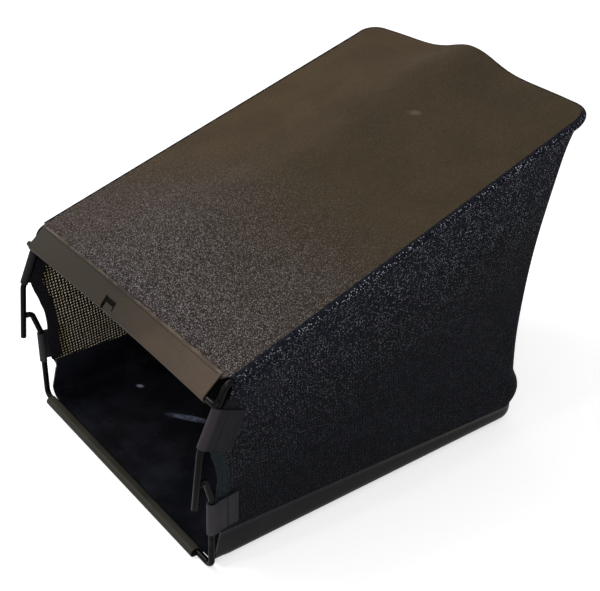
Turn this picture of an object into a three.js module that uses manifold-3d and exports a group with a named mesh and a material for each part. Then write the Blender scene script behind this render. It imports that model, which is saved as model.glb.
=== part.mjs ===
// Grass collection bag of a walk-behind mower: knit cloth sewn over a bent rod frame, on a moulded tray.
// Millimetres, +Z up, the open mouth faces -Y, the origin is under the middle of the object's bounding box.
import * as THREE from 'three';
import Module from 'manifold-3d';
import { mergeVertices } from 'three/addons/utils/BufferGeometryUtils.js';

const wasm = await Module();
wasm.setup();

// Sizes. In the layout below, Y is 0 at the bottom front rod and Z is 0 under the tray.
const ROD_D = 8;                    // diameter of every frame rod
const FIT = 0.3;                    // play between touching pieces
const CLOTH = 1.5;                  // thickness of the knit cloth
const TAPE = 1.0;                   // thickness of the hem tape
const VINYL = 1.6;                  // wall of the clip-on bindings

const FRAME_HALF = 215;             // bottom rod's corner centre to the middle plane: half the mouth
const RAIL_SPLAY = 7;               // how much wider the rails' front corners stand
const RAIL_NARROWING = 10;          // how much they come together toward the rear
const RAIL_HALF_FRONT = FRAME_HALF + RAIL_SPLAY;
const RAIL_HALF_REAR = RAIL_HALF_FRONT - RAIL_NARROWING;
const RAIL_FRONT = { y: 16.8, z: 265.6, bend: 16 };
const RAIL_REAR = { y: 581.5, z: 453, bend: 25 };
const LEG_KNEE = { x: RAIL_HALF_FRONT - 1.2, y: -17, z: 188.5, bend: 20 };
const LEG_TIP = { x: RAIL_HALF_FRONT - 2.2, y: -25, z: 110.5 };
const REAR_CROWN = 3.5;             // rise of the rear rod between its corners
const HUMP = { height: 19.5, spread: 38, blend: 130 };
const BEND_STEP = 0.28;             // largest turn between two stations of a bend, in radians

const CROSSBAR_DROP = 17.1;         // crossbar ends below the rails' front corners
const CROSSBAR_Z = RAIL_FRONT.z - CROSSBAR_DROP;
const CROSSBAR_CROWN = 5;
const CROSSBAR_OVERHANG = 4;        // crossbar end beyond the middle of the leg
// Share of the way from the rails' front corners to the rear ones, and height over the rails' line.
const RIDGE_PATH = [[0.0785, 13.2], [0.2028, 30.6], [0.4744, 30.2], [0.739, 31.6], [0.8952, 33.3]];
const RIDGE_BENDS = { front: 40, middle: 120 };

const LOWER_Z = 6.2;
const LOWER_BEND = 10;
const LOWER_KNEE = { x: FRAME_HALF + 1.4, y: 0, z: 111.5, bend: 15 };
const STUB_BEND = { x: FRAME_HALF + 3.8, y: -9.5, z: 143.5, bend: 6 };
const STUB_RISE = 0.6;              // slope of the short stub from its bend to the leg

const TRAY_HALF = FRAME_HALF - 2;   // outside of the tray's lower band
const TRAY_REAR = 530.6;
const TRAY_FRONT = 7.6;
const TRAY_CORNER = 32;             // plan radius of the rear corners
const TRAY_EDGE = 18;               // radius between floor and walls
const TRAY_WALL = 2.2;
const TRAY_HEIGHT = 63.5;
const TRAY_LIP = { rise: 2.3, end: 22, ramp: 5 };
const LEDGE_FRONT_Z = 51;           // top of the lower band, sloping down to the rear
const LEDGE_REAR_Z = 27.5;
const LEDGE_STEP = 2.2;

const RIM_FRONT_Y = 15;             // front end of the tray's upper wall
const WRAP_FRONT = 26;              // where the cloth round the rails begins
const TOP_START = 1.72;             // where the top panel begins, as an angle round the rail
const FACE_INSET = 0.4;             // cloth face behind the face of the tray's lower band
const SEAM_STEP = 0.18;             // angle between the edges sewn together on the rail
const SLEEVE_END = -1.9;            // where the side cloth, wrapped round the rail, leaves it again
const SLEEVE_STEPS = 6;
const SEAM_GAP = 0.0015;            // half of the gap along the corner seams, as a share of the perimeter
const SIDE_DRAW_IN = 6;             // how far the stretched cloth stands inside a straight line
const CORNER_DRAW_IN = 15;
const CORNER_SHARPNESS = 0.8;
const REAR_DRAW_IN = 12;
const CORNER_REACH = 0.12;
const RIM_BULGE = 7;                // how far the cloth stands out at the tray's rear corners
const RIM_SHARE = 0.1;              // share of the cloth's levels beside the tray's wall
const BULGE_SHARE = 0.13;
const CLOTH_OVER_RIM = 2;           // the cloth leaves the tray's wall this high above it
const PANEL_BEHIND_ROD = 9.5;       // front edge of the side cloth behind the leg and lower rod
const EDGE_SLACK = 3;               // bow of its free stretch between the two bindings
const CLOTH_IN_LOWER = 2;           // its face inside the lower rod's middle
const CLOTH_OUT_LEG = 1.5;          // its face outside the leg's middle
const EDGE_REACH = 60;              // how far back the front edge shapes the side cloth
const TAPE_WIDTH = 15;
const TAPE_CHAMFER = 0.5;
const TAPE_SPAN = [0.08, 0.93];     // levels of the side cloth between which the tape runs

const FLANGE_UPPER = 38;            // binding flange length from the rod's middle
const FLANGE_LOWER = 37;
const FLANGE_STRIP = 32;
const FLANGE_CHANNEL = 19;
const CREASE = { upper: 12, lower: 20, strip: 12, channel: 10 };
const GRIP_MOUTH = 5.1;             // angle at which the C of a grip ends
const STRIP_MOUTH = 4.9;
const UPPER_BINDING_Z = [LEG_KNEE.z + 5, CROSSBAR_Z - 7.5];
const BINDING_LENGTH = 46;
const BINDING_BELOW_KNEE = { left: 0.5, right: 6 };
const STRIP_HALF = RAIL_HALF_FRONT - 9;
const STRIP_SHIFT = -3;             // the strip sits a little toward the left
const STRIP_TILT = 0.7;             // flange angle at the strip's ends
const STRIP_TILT_MIDDLE = 0.19;     // added at the middle
const NOTCH = { x: -5, width: 25, from: -12, to: 4.5, depth: 24, floor: 0.5 };
const CHANNEL_NOSE = 4.5;           // how far the channel stands out in front of the rod
const CHANNEL_ENDS = [16.5 - FRAME_HALF, FRAME_HALF - 31];
// Height of the cloth over the ridge, given as the ridge rod's path is.
const RIDGE_CLOTH = [[0.003, 14.6], [0.027, 15.6], [0.0785, 22.2], [0.1406, 31.9], [0.2028, 38.6],
  [0.4744, 37.6], [0.739, 39], [0.8952, 41.1], [1, 30.8]];
const RIDGE_SOFTNESS = 0.12;
const CUTBACK_FROM = 0.88;          // beyond this share of the width the top panel's front is cut back
const CUTBACK = { back: 0.25, down: 0.1 };

const ROD_R = ROD_D / 2;
const RING_IN = ROD_R + FIT;
const RING_OUT = RING_IN + VINYL;
const WRAP = ROD_R + FIT + CLOTH;

const vec = (x, y, z) => new THREE.Vector3(x, y, z);
const smooth = (t) => THREE.MathUtils.smoothstep(t, 0, 1);
const UP = vec(0, 0, 1);

// Linear reading of a table of [position, value] pairs.
function table(pairs, at) {
  if (at <= pairs[0][0]) return pairs[0][1];
  for (let i = 1; i < pairs.length; i += 1) {
    const [x1, y1] = pairs[i];
    const [x0, y0] = pairs[i - 1];
    if (at <= x1) return y0 + ((y1 - y0) * (at - x0)) / (x1 - x0);
  }
  return pairs[pairs.length - 1][1];
}

// The same table read along a smooth curve.
function softTable(pairs, at) {
  const curve = new THREE.CatmullRomCurve3(pairs.map(([a, b]) => vec(a, b, 0)), false, 'centripetal');
  const fine = curve.getPoints(pairs.length * 6).map((p) => [p.x, p.y]);
  return table(fine, at);
}

// Materials
function material(color, roughness, metalness = 0) {
  return new THREE.MeshStandardMaterial({ color, roughness, metalness });
}

const looks = {
  rod: () => material(0x161617, 0.22, 0.1),
  vinyl: () => material(0x4f4842, 0.5),
  sideVinyl: () => material(0x2f2f32, 0.5),
  topCloth: () => material(0x3f3730, 0.9),
  sideCloth: () => material(0x191b20, 0.92),
  tape: () => material(0x20272c, 0.85),
  tray: () => material(0x101115, 0.28),
};

// Centre line of a bent rod: corner points with bend radii, turned into stations and their directions.
class RodPath extends THREE.Curve {
  constructor(corners) {
    super();
    this.stations = roundCorners(corners);
    this.directions = this.stations.map((point, i) => {
      const before = this.stations[Math.max(i - 1, 0)];
      const after = this.stations[Math.min(i + 1, this.stations.length - 1)];
      const back = point.clone().sub(before).normalize();
      const ahead = after.clone().sub(point).normalize();
      return back.add(ahead).normalize();
    });
  }

  // Stations keep their own spacing, so long straight runs need no extra rings.
  getUtoTmapping(u) {
    return u;
  }

  locate(t) {
    const at = THREE.MathUtils.clamp(t, 0, 1) * (this.stations.length - 1);
    const low = Math.min(Math.floor(at), this.stations.length - 2);
    return [low, at - low];
  }

  getPoint(t) {
    const [low, part] = this.locate(t);
    return this.stations[low].clone().lerp(this.stations[low + 1], part);
  }

  getTangent(t) {
    const [low, part] = this.locate(t);
    return this.directions[low].clone().lerp(this.directions[low + 1], part).normalize();
  }
}

function roundCorners(corners) {
  const last = corners.length - 1;
  const points = [corners[0].at.clone()];
  for (let i = 1; i < last; i += 1) {
    points.push(...cornerArc(corners[i - 1].at, corners[i].at, corners[i + 1].at, corners[i].bend));
  }
  points.push(corners[last].at.clone());
  return points;
}

function cornerArc(before, corner, after, bend) {
  if (!bend) return [corner.clone()];
  const back = before.clone().sub(corner).normalize();
  const ahead = after.clone().sub(corner).normalize();
  const half = back.angleTo(ahead) / 2;
  const middle = back.clone().add(ahead).normalize();
  const centre = corner.clone().addScaledVector(middle, bend / Math.sin(half));
  const start = corner.clone().addScaledVector(back, bend / Math.tan(half)).sub(centre);
  const end = corner.clone().addScaledVector(ahead, bend / Math.tan(half)).sub(centre);
  const turn = Math.PI - 2 * half;
  const steps = Math.max(2, Math.ceil(turn / BEND_STEP));
  const arc = [];
  for (let k = 0; k <= steps; k += 1) {
    const a = Math.sin(turn * (1 - k / steps)) / Math.sin(turn);
    const b = Math.sin((turn * k) / steps) / Math.sin(turn);
    arc.push(start.clone().multiplyScalar(a).addScaledVector(end, b).add(centre));
  }
  return arc;
}

function rod(corners) {
  const section = new THREE.Shape().absarc(0, 0, ROD_R, 0, Math.PI * 2);
  const extrudePath = new RodPath(corners);
  const steps = extrudePath.stations.length - 1;
  return new THREE.ExtrudeGeometry(section, { steps, extrudePath, curveSegments: 5, bevelEnabled: false });
}

// Corner list of the right half, mirrored and joined into one rod through the middle plane.
function bothSides(right) {
  const left = right.map((c) => ({ at: vec(-c.at.x, c.at.y, c.at.z), bend: c.bend }));
  const middle = right[0].at.x === 0 ? right.slice(1) : right;
  return [...left.reverse(), ...middle];
}

// The straight line of the rails between their front and rear corners.
const railSlope = (RAIL_REAR.z - RAIL_FRONT.z) / (RAIL_REAR.y - RAIL_FRONT.y);
const railLineZ = (y) => RAIL_FRONT.z + railSlope * (y - RAIL_FRONT.y);

// A table of shares of the rails' length and heights over their line becomes one of Y and Z.
function overRails(pairs) {
  return pairs.map(([share, rise]) => {
    const y = RAIL_FRONT.y + share * (RAIL_REAR.y - RAIL_FRONT.y);
    return [y, railLineZ(y) + rise];
  });
}

function rearRodZ(x) {
  const crown = REAR_CROWN * (1 - (Math.abs(x) / 200) ** 4);
  const hump = HUMP.height * Math.exp(-(x * x) / (2 * HUMP.spread ** 2));
  return RAIL_REAR.z + crown + hump;
}

function railFrame() {
  const rear = [...REAR_SHARES, 0].map((u) => shareToP(u)).reverse();
  const corner = ARC_STATIONS.slice(0, -1).reverse();
  const right = [...rear, ...corner].map((p) => ({ at: railOutline(p).centre, bend: 0 }));
  right.push({ at: vec(RAIL_HALF_FRONT, RAIL_FRONT.y, RAIL_FRONT.z), bend: RAIL_FRONT.bend });
  right.push({ at: vec(LEG_KNEE.x, LEG_KNEE.y, LEG_KNEE.z), bend: LEG_KNEE.bend });
  right.push({ at: vec(LEG_TIP.x, LEG_TIP.y, LEG_TIP.z), bend: 0 });
  return rod(bothSides(right));
}

function legY(z) {
  const { y, z: top } = RAIL_FRONT;
  return y + ((LEG_KNEE.y - y) * (top - z)) / (top - LEG_KNEE.z);
}

function legX(z) {
  const part = (RAIL_FRONT.z - z) / (RAIL_FRONT.z - LEG_KNEE.z);
  return RAIL_HALF_FRONT + (LEG_KNEE.x - RAIL_HALF_FRONT) * part;
}

const legLean = Math.atan2(RAIL_FRONT.y - LEG_KNEE.y, RAIL_FRONT.z - LEG_KNEE.z);
const crossbarY = legY(CROSSBAR_Z) - (ROD_D + FIT) / Math.cos(legLean);
const crossbarZ = (x) => CROSSBAR_Z + CROSSBAR_CROWN * (1 - (x / RAIL_HALF_FRONT) ** 2);

function crossbar() {
  const end = RAIL_HALF_FRONT + CROSSBAR_OVERHANG;
  const right = [];
  for (let k = 0; k <= 8; k += 1) {
    const x = (end * k) / 8;
    right.push({ at: vec(x, crossbarY, crossbarZ(x)), bend: 0 });
  }
  return rod(bothSides(right));
}

function ridgeRod() {
  const front = vec(0, crossbarY, crossbarZ(0));
  const rear = vec(0, RAIL_REAR.y, rearRodZ(0));
  const middle = overRails(RIDGE_PATH).map(([y, z]) => vec(0, y, z));
  const reach = ROD_R + FIT;
  const start = front.clone().add(middle[0].clone().sub(front).setLength(reach));
  const end = rear.clone().add(middle[middle.length - 1].clone().sub(rear).setLength(reach));
  const run = middle.map((at, i) => ({ at, bend: i > 0 ? RIDGE_BENDS.middle : RIDGE_BENDS.front }));
  return rod([{ at: start, bend: 0 }, ...run, { at: end, bend: 0 }]);
}

// Point of the leg's free lower part at a height.
function legEnd(z) {
  const part = (LEG_KNEE.z - z) / (LEG_KNEE.z - LEG_TIP.z);
  return vec(LEG_KNEE.x, LEG_KNEE.y, LEG_KNEE.z).lerp(vec(LEG_TIP.x, LEG_TIP.y, LEG_TIP.z), part);
}

function lowerRodX(z) {
  return FRAME_HALF + ((LOWER_KNEE.x - FRAME_HALF) * (z - LOWER_Z)) / (LOWER_KNEE.z - LOWER_Z);
}

function lowerRod() {
  const weld = legEnd(STUB_BEND.z + STUB_RISE);
  weld.y += ROD_R + FIT + 0.1;
  const right = [
    { at: vec(FRAME_HALF, 0, LOWER_Z), bend: LOWER_BEND },
    { at: vec(LOWER_KNEE.x, LOWER_KNEE.y, LOWER_KNEE.z), bend: LOWER_KNEE.bend },
    { at: vec(STUB_BEND.x, STUB_BEND.y, STUB_BEND.z), bend: STUB_BEND.bend },
    { at: weld, bend: 0 },
  ];
  return rod(bothSides(right));
}

// An open surface, given by rows of points, becomes a closed sheet: outer face, inner face and rim.
function thicken(points, triangles, thickness) {
  const count = points.length;
  const normals = points.map(() => vec(0, 0, 0));
  for (const [a, b, c] of triangles) {
    const side = points[b].clone().sub(points[a]);
    const face = side.cross(points[c].clone().sub(points[a]));
    for (const i of [a, b, c]) normals[i].add(face);
  }
  const inner = points.map((p, i) => p.clone().addScaledVector(normals[i].normalize(), -thickness));
  const index = [];
  const open = new Map();
  for (const [a, b, c] of triangles) {
    index.push(a, b, c, a + count, c + count, b + count);
    for (const [from, to] of [[a, b], [b, c], [c, a]]) {
      if (!open.delete(`${to},${from}`)) open.set(`${from},${to}`, [from, to]);
    }
  }
  for (const [from, to] of open.values()) {
    index.push(to, from, from + count, to, from + count, to + count);
  }
  const geometry = new THREE.BufferGeometry();
  const flat = [...points, ...inner].flatMap((p) => [p.x, p.y, p.z]);
  geometry.setAttribute('position', new THREE.Float32BufferAttribute(flat, 3));
  geometry.setIndex(index);
  return geometry;
}

// Triangles between rows of equal length; flip turns the faces over.
function rowTriangles(rows, columns, flip, first = 0) {
  const triangles = [];
  for (let r = 0; r < rows - 1; r += 1) {
    for (let c = 0; c < columns - 1; c += 1) {
      const a = first + r * columns + c;
      const b = a + columns;
      const pair = flip ? [[a, b + 1, b], [a, a + 1, b + 1]] : [[a, b, b + 1], [a, b + 1, a + 1]];
      triangles.push(...pair);
    }
  }
  return triangles;
}

function sheet(rows, thickness, flip = false) {
  return thicken(rows.flat(), rowTriangles(rows.length, rows[0].length, flip), thickness);
}

// A field of rows with a skirt hanging from its left, rear and right border.
// rows run front to rear and each from left to right; skirt(i) gives the points below border point i.
function fieldWithSkirt(rows, skirt, thickness, flip) {
  const columns = rows[0].length;
  const last = rows.length - 1;
  const border = [];
  for (let r = 0; r <= last; r += 1) border.push(r * columns);
  for (let c = 1; c < columns; c += 1) border.push(last * columns + c);
  for (let r = last - 1; r >= 0; r -= 1) border.push(r * columns + columns - 1);
  const points = rows.flat();
  const triangles = rowTriangles(rows.length, columns, flip);
  let previous = border;
  const drops = border.map((_, i) => skirt(i));
  for (let k = 0; k < drops[0].length; k += 1) {
    const ring = drops.map((drop) => points.push(drop[k]) - 1);
    for (let i = 0; i < border.length - 1; i += 1) {
      const [a, b, c, d] = [previous[i], previous[i + 1], ring[i + 1], ring[i]];
      triangles.push(...(flip ? [[a, b, c], [a, c, d]] : [[a, c, b], [a, d, c]]));
    }
    previous = ring;
  }
  return thicken(points, triangles, thickness);
}

// Right half of the plan outline, from the front (p = 0) to the middle of the rear (p = 1).
const SIDE_END = 0.62;
const ARC_END = 0.74;
const CORNER_P = (SIDE_END + ARC_END) / 2;
const SIDE_STATIONS = [0, 0.02, 0.05, 0.09, 0.14, 0.2, 0.27, 0.34, 0.41, 0.48, 0.54, 0.59];
const ARC_STATIONS = [0, 1, 2, 3, 4, 5, 6].map((k) => SIDE_END + ((ARC_END - SIDE_END) * k) / 6);
// Shares of the straight rear run, from its end (1) toward the middle plane (0).
const REAR_SHARES = [1, 0.94, 0.86, 0.75, 0.62, 0.5, 0.4, 0.31, 0.23, 0.15, 0.075];
const shareToP = (u) => ARC_END + (1 - ARC_END) * (1 - u);

// Point and outward direction on a rounded outline with its sharp corner at (halfRear, rear).
function outline(p, halfFront, halfRear, front, rear, radius) {
  const sideDirection = Math.atan2(halfRear - halfFront, rear - front);
  if (p <= SIDE_END) {
    const y = front + ((rear - radius - front) * p) / SIDE_END;
    const x = halfFront + ((halfRear - halfFront) * (y - front)) / (rear - front);
    return { x, y, nx: Math.cos(sideDirection), ny: -Math.sin(sideDirection) };
  }
  if (p <= ARC_END) {
    const turn = (Math.PI / 2) * ((p - SIDE_END) / (ARC_END - SIDE_END));
    const side = halfFront + ((halfRear - halfFront) * (rear - radius - front)) / (rear - front);
    const x = side - radius + radius * Math.cos(turn);
    return { x, y: rear - radius + radius * Math.sin(turn), nx: Math.cos(turn), ny: Math.sin(turn) };
  }
  const side = halfFront + ((halfRear - halfFront) * (rear - radius - front)) / (rear - front);
  const x = (side - radius) * (1 - (p - ARC_END) / (1 - ARC_END));
  return { x, y: rear, nx: 0, ny: 1 };
}

function railCentre(p) {
  const narrowing = RAIL_NARROWING / (RAIL_REAR.y - RAIL_FRONT.y);
  const half = RAIL_HALF_FRONT - narrowing * (WRAP_FRONT - RAIL_FRONT.y);
  const { x, y } = outline(p, half, RAIL_HALF_REAR, WRAP_FRONT, RAIL_REAR.y, RAIL_REAR.bend);
  const cornerPart = THREE.MathUtils.clamp((p - SIDE_END) / (ARC_END - SIDE_END), 0, 1);
  const z = THREE.MathUtils.lerp(railLineZ(y), rearRodZ(x), cornerPart);
  return vec(x, y, z);
}

// Rail centre with the outward and upward directions square to the rod.
function railOutline(p) {
  const step = 0.004;
  const along = railCentre(Math.min(p + step, 1)).sub(railCentre(Math.max(p - step, 0))).normalize();
  const out = along.clone().cross(UP).normalize();
  return { centre: railCentre(p), out, up: out.clone().cross(along) };
}

// Point on the cloth wrapped round the rail; angle 0 is outward, a quarter turn is up.
function railWrap(p, angle) {
  const { centre, out, up } = railOutline(p);
  return centre.addScaledVector(out, WRAP * Math.cos(angle)).addScaledVector(up, WRAP * Math.sin(angle));
}

function ledgeZ(y) {
  const part = THREE.MathUtils.clamp(y / TRAY_REAR, 0, 1);
  return LEDGE_FRONT_Z + (LEDGE_REAR_Z - LEDGE_FRONT_Z) * part;
}

// Front edge of the side cloth: [height, Y] from the tray over its free stretch to the rail.
const freeEdge = { low: LOWER_KNEE.z + 6, high: UPPER_BINDING_Z[0] };
const behindLeg = (z) => legY(z) + PANEL_BEHIND_ROD;

function freeEdgeY(part) {
  const straight = THREE.MathUtils.lerp(PANEL_BEHIND_ROD, behindLeg(freeEdge.high), smooth(part));
  return straight + EDGE_SLACK * Math.sin(Math.PI * part);
}

const frontEdge = [
  [TRAY_HEIGHT - 36, RIM_FRONT_Y + 1],
  [TRAY_HEIGHT - 8, RIM_FRONT_Y],
  [TRAY_HEIGHT, RIM_FRONT_Y - 3],
  [TRAY_HEIGHT + 12, PANEL_BEHIND_ROD],
  ...[0, 0.2, 0.4, 0.6, 0.8, 1].map((part) => [
    THREE.MathUtils.lerp(freeEdge.low, freeEdge.high, part), freeEdgeY(part)]),
  [UPPER_BINDING_Z[1] + 7, behindLeg(UPPER_BINDING_Z[1] + 7) + 0.8],
  [RAIL_FRONT.z - 7.6, WRAP_FRONT - 2],
  [RAIL_FRONT.z + 8.4, WRAP_FRONT],
];

// The same edge as [height, X].
const legSide = (z) => [z, legX(z) + CLOTH_OUT_LEG];
const lowerSide = (z) => [z, lowerRodX(z) - CLOTH_IN_LOWER];
const frontEdgeX = [
  [TRAY_HEIGHT - 36, TRAY_HALF - FACE_INSET],
  [TRAY_HEIGHT + CLOTH_OVER_RIM, TRAY_HALF - FACE_INSET],
  lowerSide(TRAY_HEIGHT + 16),
  lowerSide(LOWER_KNEE.z),
  legSide(LEG_KNEE.z + 3),
  legSide(UPPER_BINDING_Z[1] + 7),
];
const RIM_TOP = TRAY_HEIGHT + CLOTH_OVER_RIM;

// Outer face of the side and rear cloth; v runs from the tray's ledge (0) over its rim to the rail (1)
// and then round the outside of the rail to the seam with the top panel (2).
function clothWall(p, v) {
  if (v > 1) return railWrap(p, THREE.MathUtils.lerp(SLEEVE_END, TOP_START - SEAM_STEP, v - 1));
  const seam = railWrap(p, SLEEVE_END);
  const half = TRAY_HALF - FACE_INSET;
  const foot = outline(p, half, half, RIM_FRONT_Y, TRAY_REAR - FACE_INSET, TRAY_CORNER - FACE_INSET);
  const low = ledgeZ(foot.y) + FIT;
  const corner = Math.exp(-(((p - CORNER_P) / CORNER_REACH) ** 2));
  const bulge = RIM_BULGE * corner ** 2 * Math.sin(Math.PI * Math.min(v / BULGE_SHARE, 1));
  foot.x += bulge * foot.nx;
  foot.y += bulge * foot.ny;
  if (v <= RIM_SHARE) {
    const z = low + ((RIM_TOP - low) * v) / RIM_SHARE;
    const y = p < SIDE_END ? frontward(p, foot.y, z) : foot.y;
    return vec(foot.x, y, z);
  }
  const w = (v - RIM_SHARE) / (1 - RIM_SHARE);
  const arch = 4 * w * (1 - w);
  const z = RIM_TOP + (seam.z - RIM_TOP) * w;
  const flatPoint = vec(foot.x, foot.y, RIM_TOP).lerp(seam, w);
  const draw = p < CORNER_P ? SIDE_DRAW_IN : REAR_DRAW_IN;
  const depth = draw * arch * (1 - corner) + CORNER_DRAW_IN * arch ** CORNER_SHARPNESS * corner;
  const nx = THREE.MathUtils.lerp(foot.nx, railOutline(p).out.x, w);
  const ny = THREE.MathUtils.lerp(foot.ny, railOutline(p).out.y, w);
  flatPoint.x -= depth * nx;
  flatPoint.y -= depth * ny;
  if (p < SIDE_END) {
    const free = smooth((1 - w) * 12);
    flatPoint.y = THREE.MathUtils.lerp(flatPoint.y, frontward(p, flatPoint.y, z), free);
    const near = Math.exp(-(((flatPoint.y - table(frontEdge, z)) / EDGE_REACH) ** 2));
    flatPoint.x += (softTable(frontEdgeX, z) - flatPoint.x) * near * free;
  }
  return flatPoint;
}

// Moves a point of the side cloth forward so that the first column follows the hemmed front edge.
function frontward(p, y, z) {
  const start = softTable(frontEdge, z);
  const weight = 1 - p / SIDE_END;
  const origin = THREE.MathUtils.lerp(RIM_FRONT_Y, WRAP_FRONT, (z - RIM_TOP) / (RAIL_FRONT.z - RIM_TOP));
  return y + (start - origin) * weight ** 2;
}

const wallLevels = [0, 0.05, 0.1, 0.14, 0.19, 0.26, 0.34, 0.43, 0.52, 0.61, 0.7, 0.78, 0.86, 0.92, 0.96];
for (let k = 0; k <= SLEEVE_STEPS; k += 1) wallLevels.push(1 + k / SLEEVE_STEPS);

function wallRows(stations, mirror) {
  return wallLevels.map((v) => stations.map((p) => {
    const at = clothWall(Math.abs(p), v);
    return mirror || p < 0 ? vec(-at.x, at.y, at.z) : at;
  }));
}

function sidePanel(side) {
  const arc = ARC_STATIONS.filter((p) => p < CORNER_P - SEAM_GAP);
  const stations = [...SIDE_STATIONS, ...arc, CORNER_P - SEAM_GAP];
  return sheet(wallRows(stations, side < 0), CLOTH, side > 0);
}

function rearPanel() {
  const arc = ARC_STATIONS.filter((p) => p > CORNER_P + SEAM_GAP);
  const right = [CORNER_P + SEAM_GAP, ...arc, ...REAR_SHARES.slice(1).map(shareToP)];
  const stations = [...right, 1, ...right.map((p) => -p).reverse()];
  return sheet(wallRows(stations, false), CLOTH, true);
}

const stripTilt = (x) => STRIP_TILT + STRIP_TILT_MIDDLE * (1 - (x / RAIL_HALF_FRONT) ** 2);

// Point beside the crossbar: along the strip's flange, and off it.
function besideCrossbar(x, along, off) {
  const tilt = stripTilt(x);
  const y = crossbarY + along * Math.cos(tilt) - off * Math.sin(tilt);
  return vec(x, y, crossbarZ(x) + along * Math.sin(tilt) + off * Math.cos(tilt));
}

function gable(t) {
  const soft = (x) => Math.hypot(x, RIDGE_SOFTNESS) - RIDGE_SOFTNESS;
  return 1 - soft(t) / soft(1);
}

const topStations = [...SIDE_STATIONS, ...ARC_STATIONS];
// Rows of the top cloth under the strip's flange, by their distance from the crossbar.
const flangeSteps = [0, 1 / 3, 2 / 3, 1].map((part) => (
  THREE.MathUtils.lerp(PANEL_BEHIND_ROD, FLANGE_STRIP - 3, part)));

// Points of one row of the top cloth between the rail and the ridge, for the station p of the rail.
function topPoint(p, u) {
  if (p === ARC_END) {
    const rear = railWrap(shareToP(Math.abs(u)), TOP_START);
    return vec(rear.x * Math.sign(u), rear.y, rear.z);
  }
  const edge = railWrap(p, TOP_START);
  const ridgeZ = softTable(overRails(RIDGE_CLOTH), edge.y);
  const fade = smooth((edge.y - (RAIL_REAR.y - HUMP.blend)) / HUMP.blend);
  const base = rearRodZ(edge.x);
  const hump = (rearRodZ(u * edge.x) - base) / (rearRodZ(0) - base);
  const share = gable(u) * (1 - fade) + hump * fade;
  return vec(edge.x * u, edge.y, edge.z + (ridgeZ - edge.z) * share);
}

function topPanel() {
  const columns = [...REAR_SHARES.map((u) => -u), 0, ...REAR_SHARES.slice().reverse()];
  const rows = flangeSteps.map((along, k) => columns.map((u) => {
    const edge = topPoint(0, u);
    const cut = smooth((Math.abs(u) - CUTBACK_FROM) / (1 - CUTBACK_FROM));
    const under = besideCrossbar(edge.x, along, RING_IN - FIT);
    const behind = edge.clone();
    behind.y -= CUTBACK.back * (flangeSteps.length - k);
    behind.z -= CUTBACK.down * (flangeSteps.length - k);
    return under.lerp(behind, cut);
  }));
  for (const p of topStations.slice(1)) rows.push(columns.map((u) => topPoint(p, u)));
  return sheet(rows, CLOTH, true);
}

function trayFrontY(z) {
  return table([[TRAY_EDGE + 2, TRAY_FRONT], [LEDGE_FRONT_Z - 2.5, RIM_FRONT_Y]], z);
}

function trayFloorZ(y) {
  return TRAY_LIP.rise * (1 - smooth((y - TRAY_LIP.end) / TRAY_LIP.ramp));
}

// Outer face of the tray wall at an inset from the band and a height.
function trayWall(p, inset, z, lift) {
  const radius = TRAY_CORNER - inset;
  const half = TRAY_HALF - inset;
  const at = outline(p, half, half, trayFrontY(z), TRAY_REAR - inset, radius);
  return vec(at.x, at.y, z + lift);
}

function tray() {
  const stations = [0, 0.02, 0.035, 0.05, 0.14, 0.27, 0.41, 0.54, ...ARC_STATIONS];
  const columns = [1, 0.66, 0.33];
  const shares = [...columns.map((u) => -u), 0, ...columns.slice().reverse()];
  const rows = stations.map((p) => shares.map((u) => {
    const at = trayWall(p, TRAY_EDGE, 0, 0);
    return vec(at.x * u, at.y, trayFloorZ(at.y));
  }));
  const count = stations.length - 1;
  const across = shares.length - 1;
  const skirt = (i) => {
    const onLeft = i <= count;
    const onRear = !onLeft && i < count + across;
    const p = onLeft ? stations[i] : stations[2 * count + across - i];
    const sign = onLeft ? -1 : 1;
    const drop = [];
    const add = (inset, z, lift) => {
      const at = trayWall(onRear ? 1 : p, inset, z, lift);
      if (onRear) at.x = rows[count][i - count].x;
      else at.x *= sign;
      drop.push(at);
    };
    const lift = onRear ? 0 : trayFloorZ(trayWall(p, TRAY_EDGE, 0, 0).y);
    for (const turn of [0.4, 0.8, 1.2]) {
      const z = TRAY_EDGE * (1 - Math.cos(turn));
      add(TRAY_EDGE * (1 - Math.sin(turn)), z, lift * Math.cos(turn));
    }
    add(0, TRAY_EDGE + 0.5, 0);
    const ledge = ledgeZ(onRear ? TRAY_REAR : trayWall(p, 0, LEDGE_FRONT_Z, 0).y);
    add(0, ledge - 1, 0);
    add(LEDGE_STEP, ledge - 0.2, 0);
    add(LEDGE_STEP, TRAY_HEIGHT, 0);
    return drop;
  };
  return fieldWithSkirt(rows, skirt, TRAY_WALL, false);
}

// C-shaped grip round a rod with a flange. The section lies in the plane (rearward, outward);
// the flange leaves the ring at an angle, runs to the crease and then on to its end. A nose draws
// the front of the ring away from the rod.
const SECTION_TOP = (Math.PI * 3) / 2;

function gripSection(crease, end, mouth = GRIP_MOUTH, nose = 0) {
  const outerRun = [crease, end];
  const lean = Math.atan2(RING_IN - crease[1], crease[0]);
  const start = Math.PI / 2 - lean;
  const section = new THREE.Shape();
  section.moveTo(RING_OUT * Math.cos(start), RING_OUT * Math.sin(start));
  section.absarc(-nose, 0, RING_OUT, start, SECTION_TOP, false);
  section.absarc(0, 0, RING_OUT, SECTION_TOP, mouth, false);
  section.absarc(0, 0, RING_IN, mouth, SECTION_TOP, true);
  section.absarc(-nose, 0, RING_IN, SECTION_TOP, start, true);
  for (const [a, b] of outerRun) section.lineTo(a, b);
  const slant = (VINYL * Math.sin(lean)) / 2;
  for (const [a, b] of outerRun.slice().reverse()) section.lineTo(a + slant, b + VINYL);
  section.closePath();
  return section;
}

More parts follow.
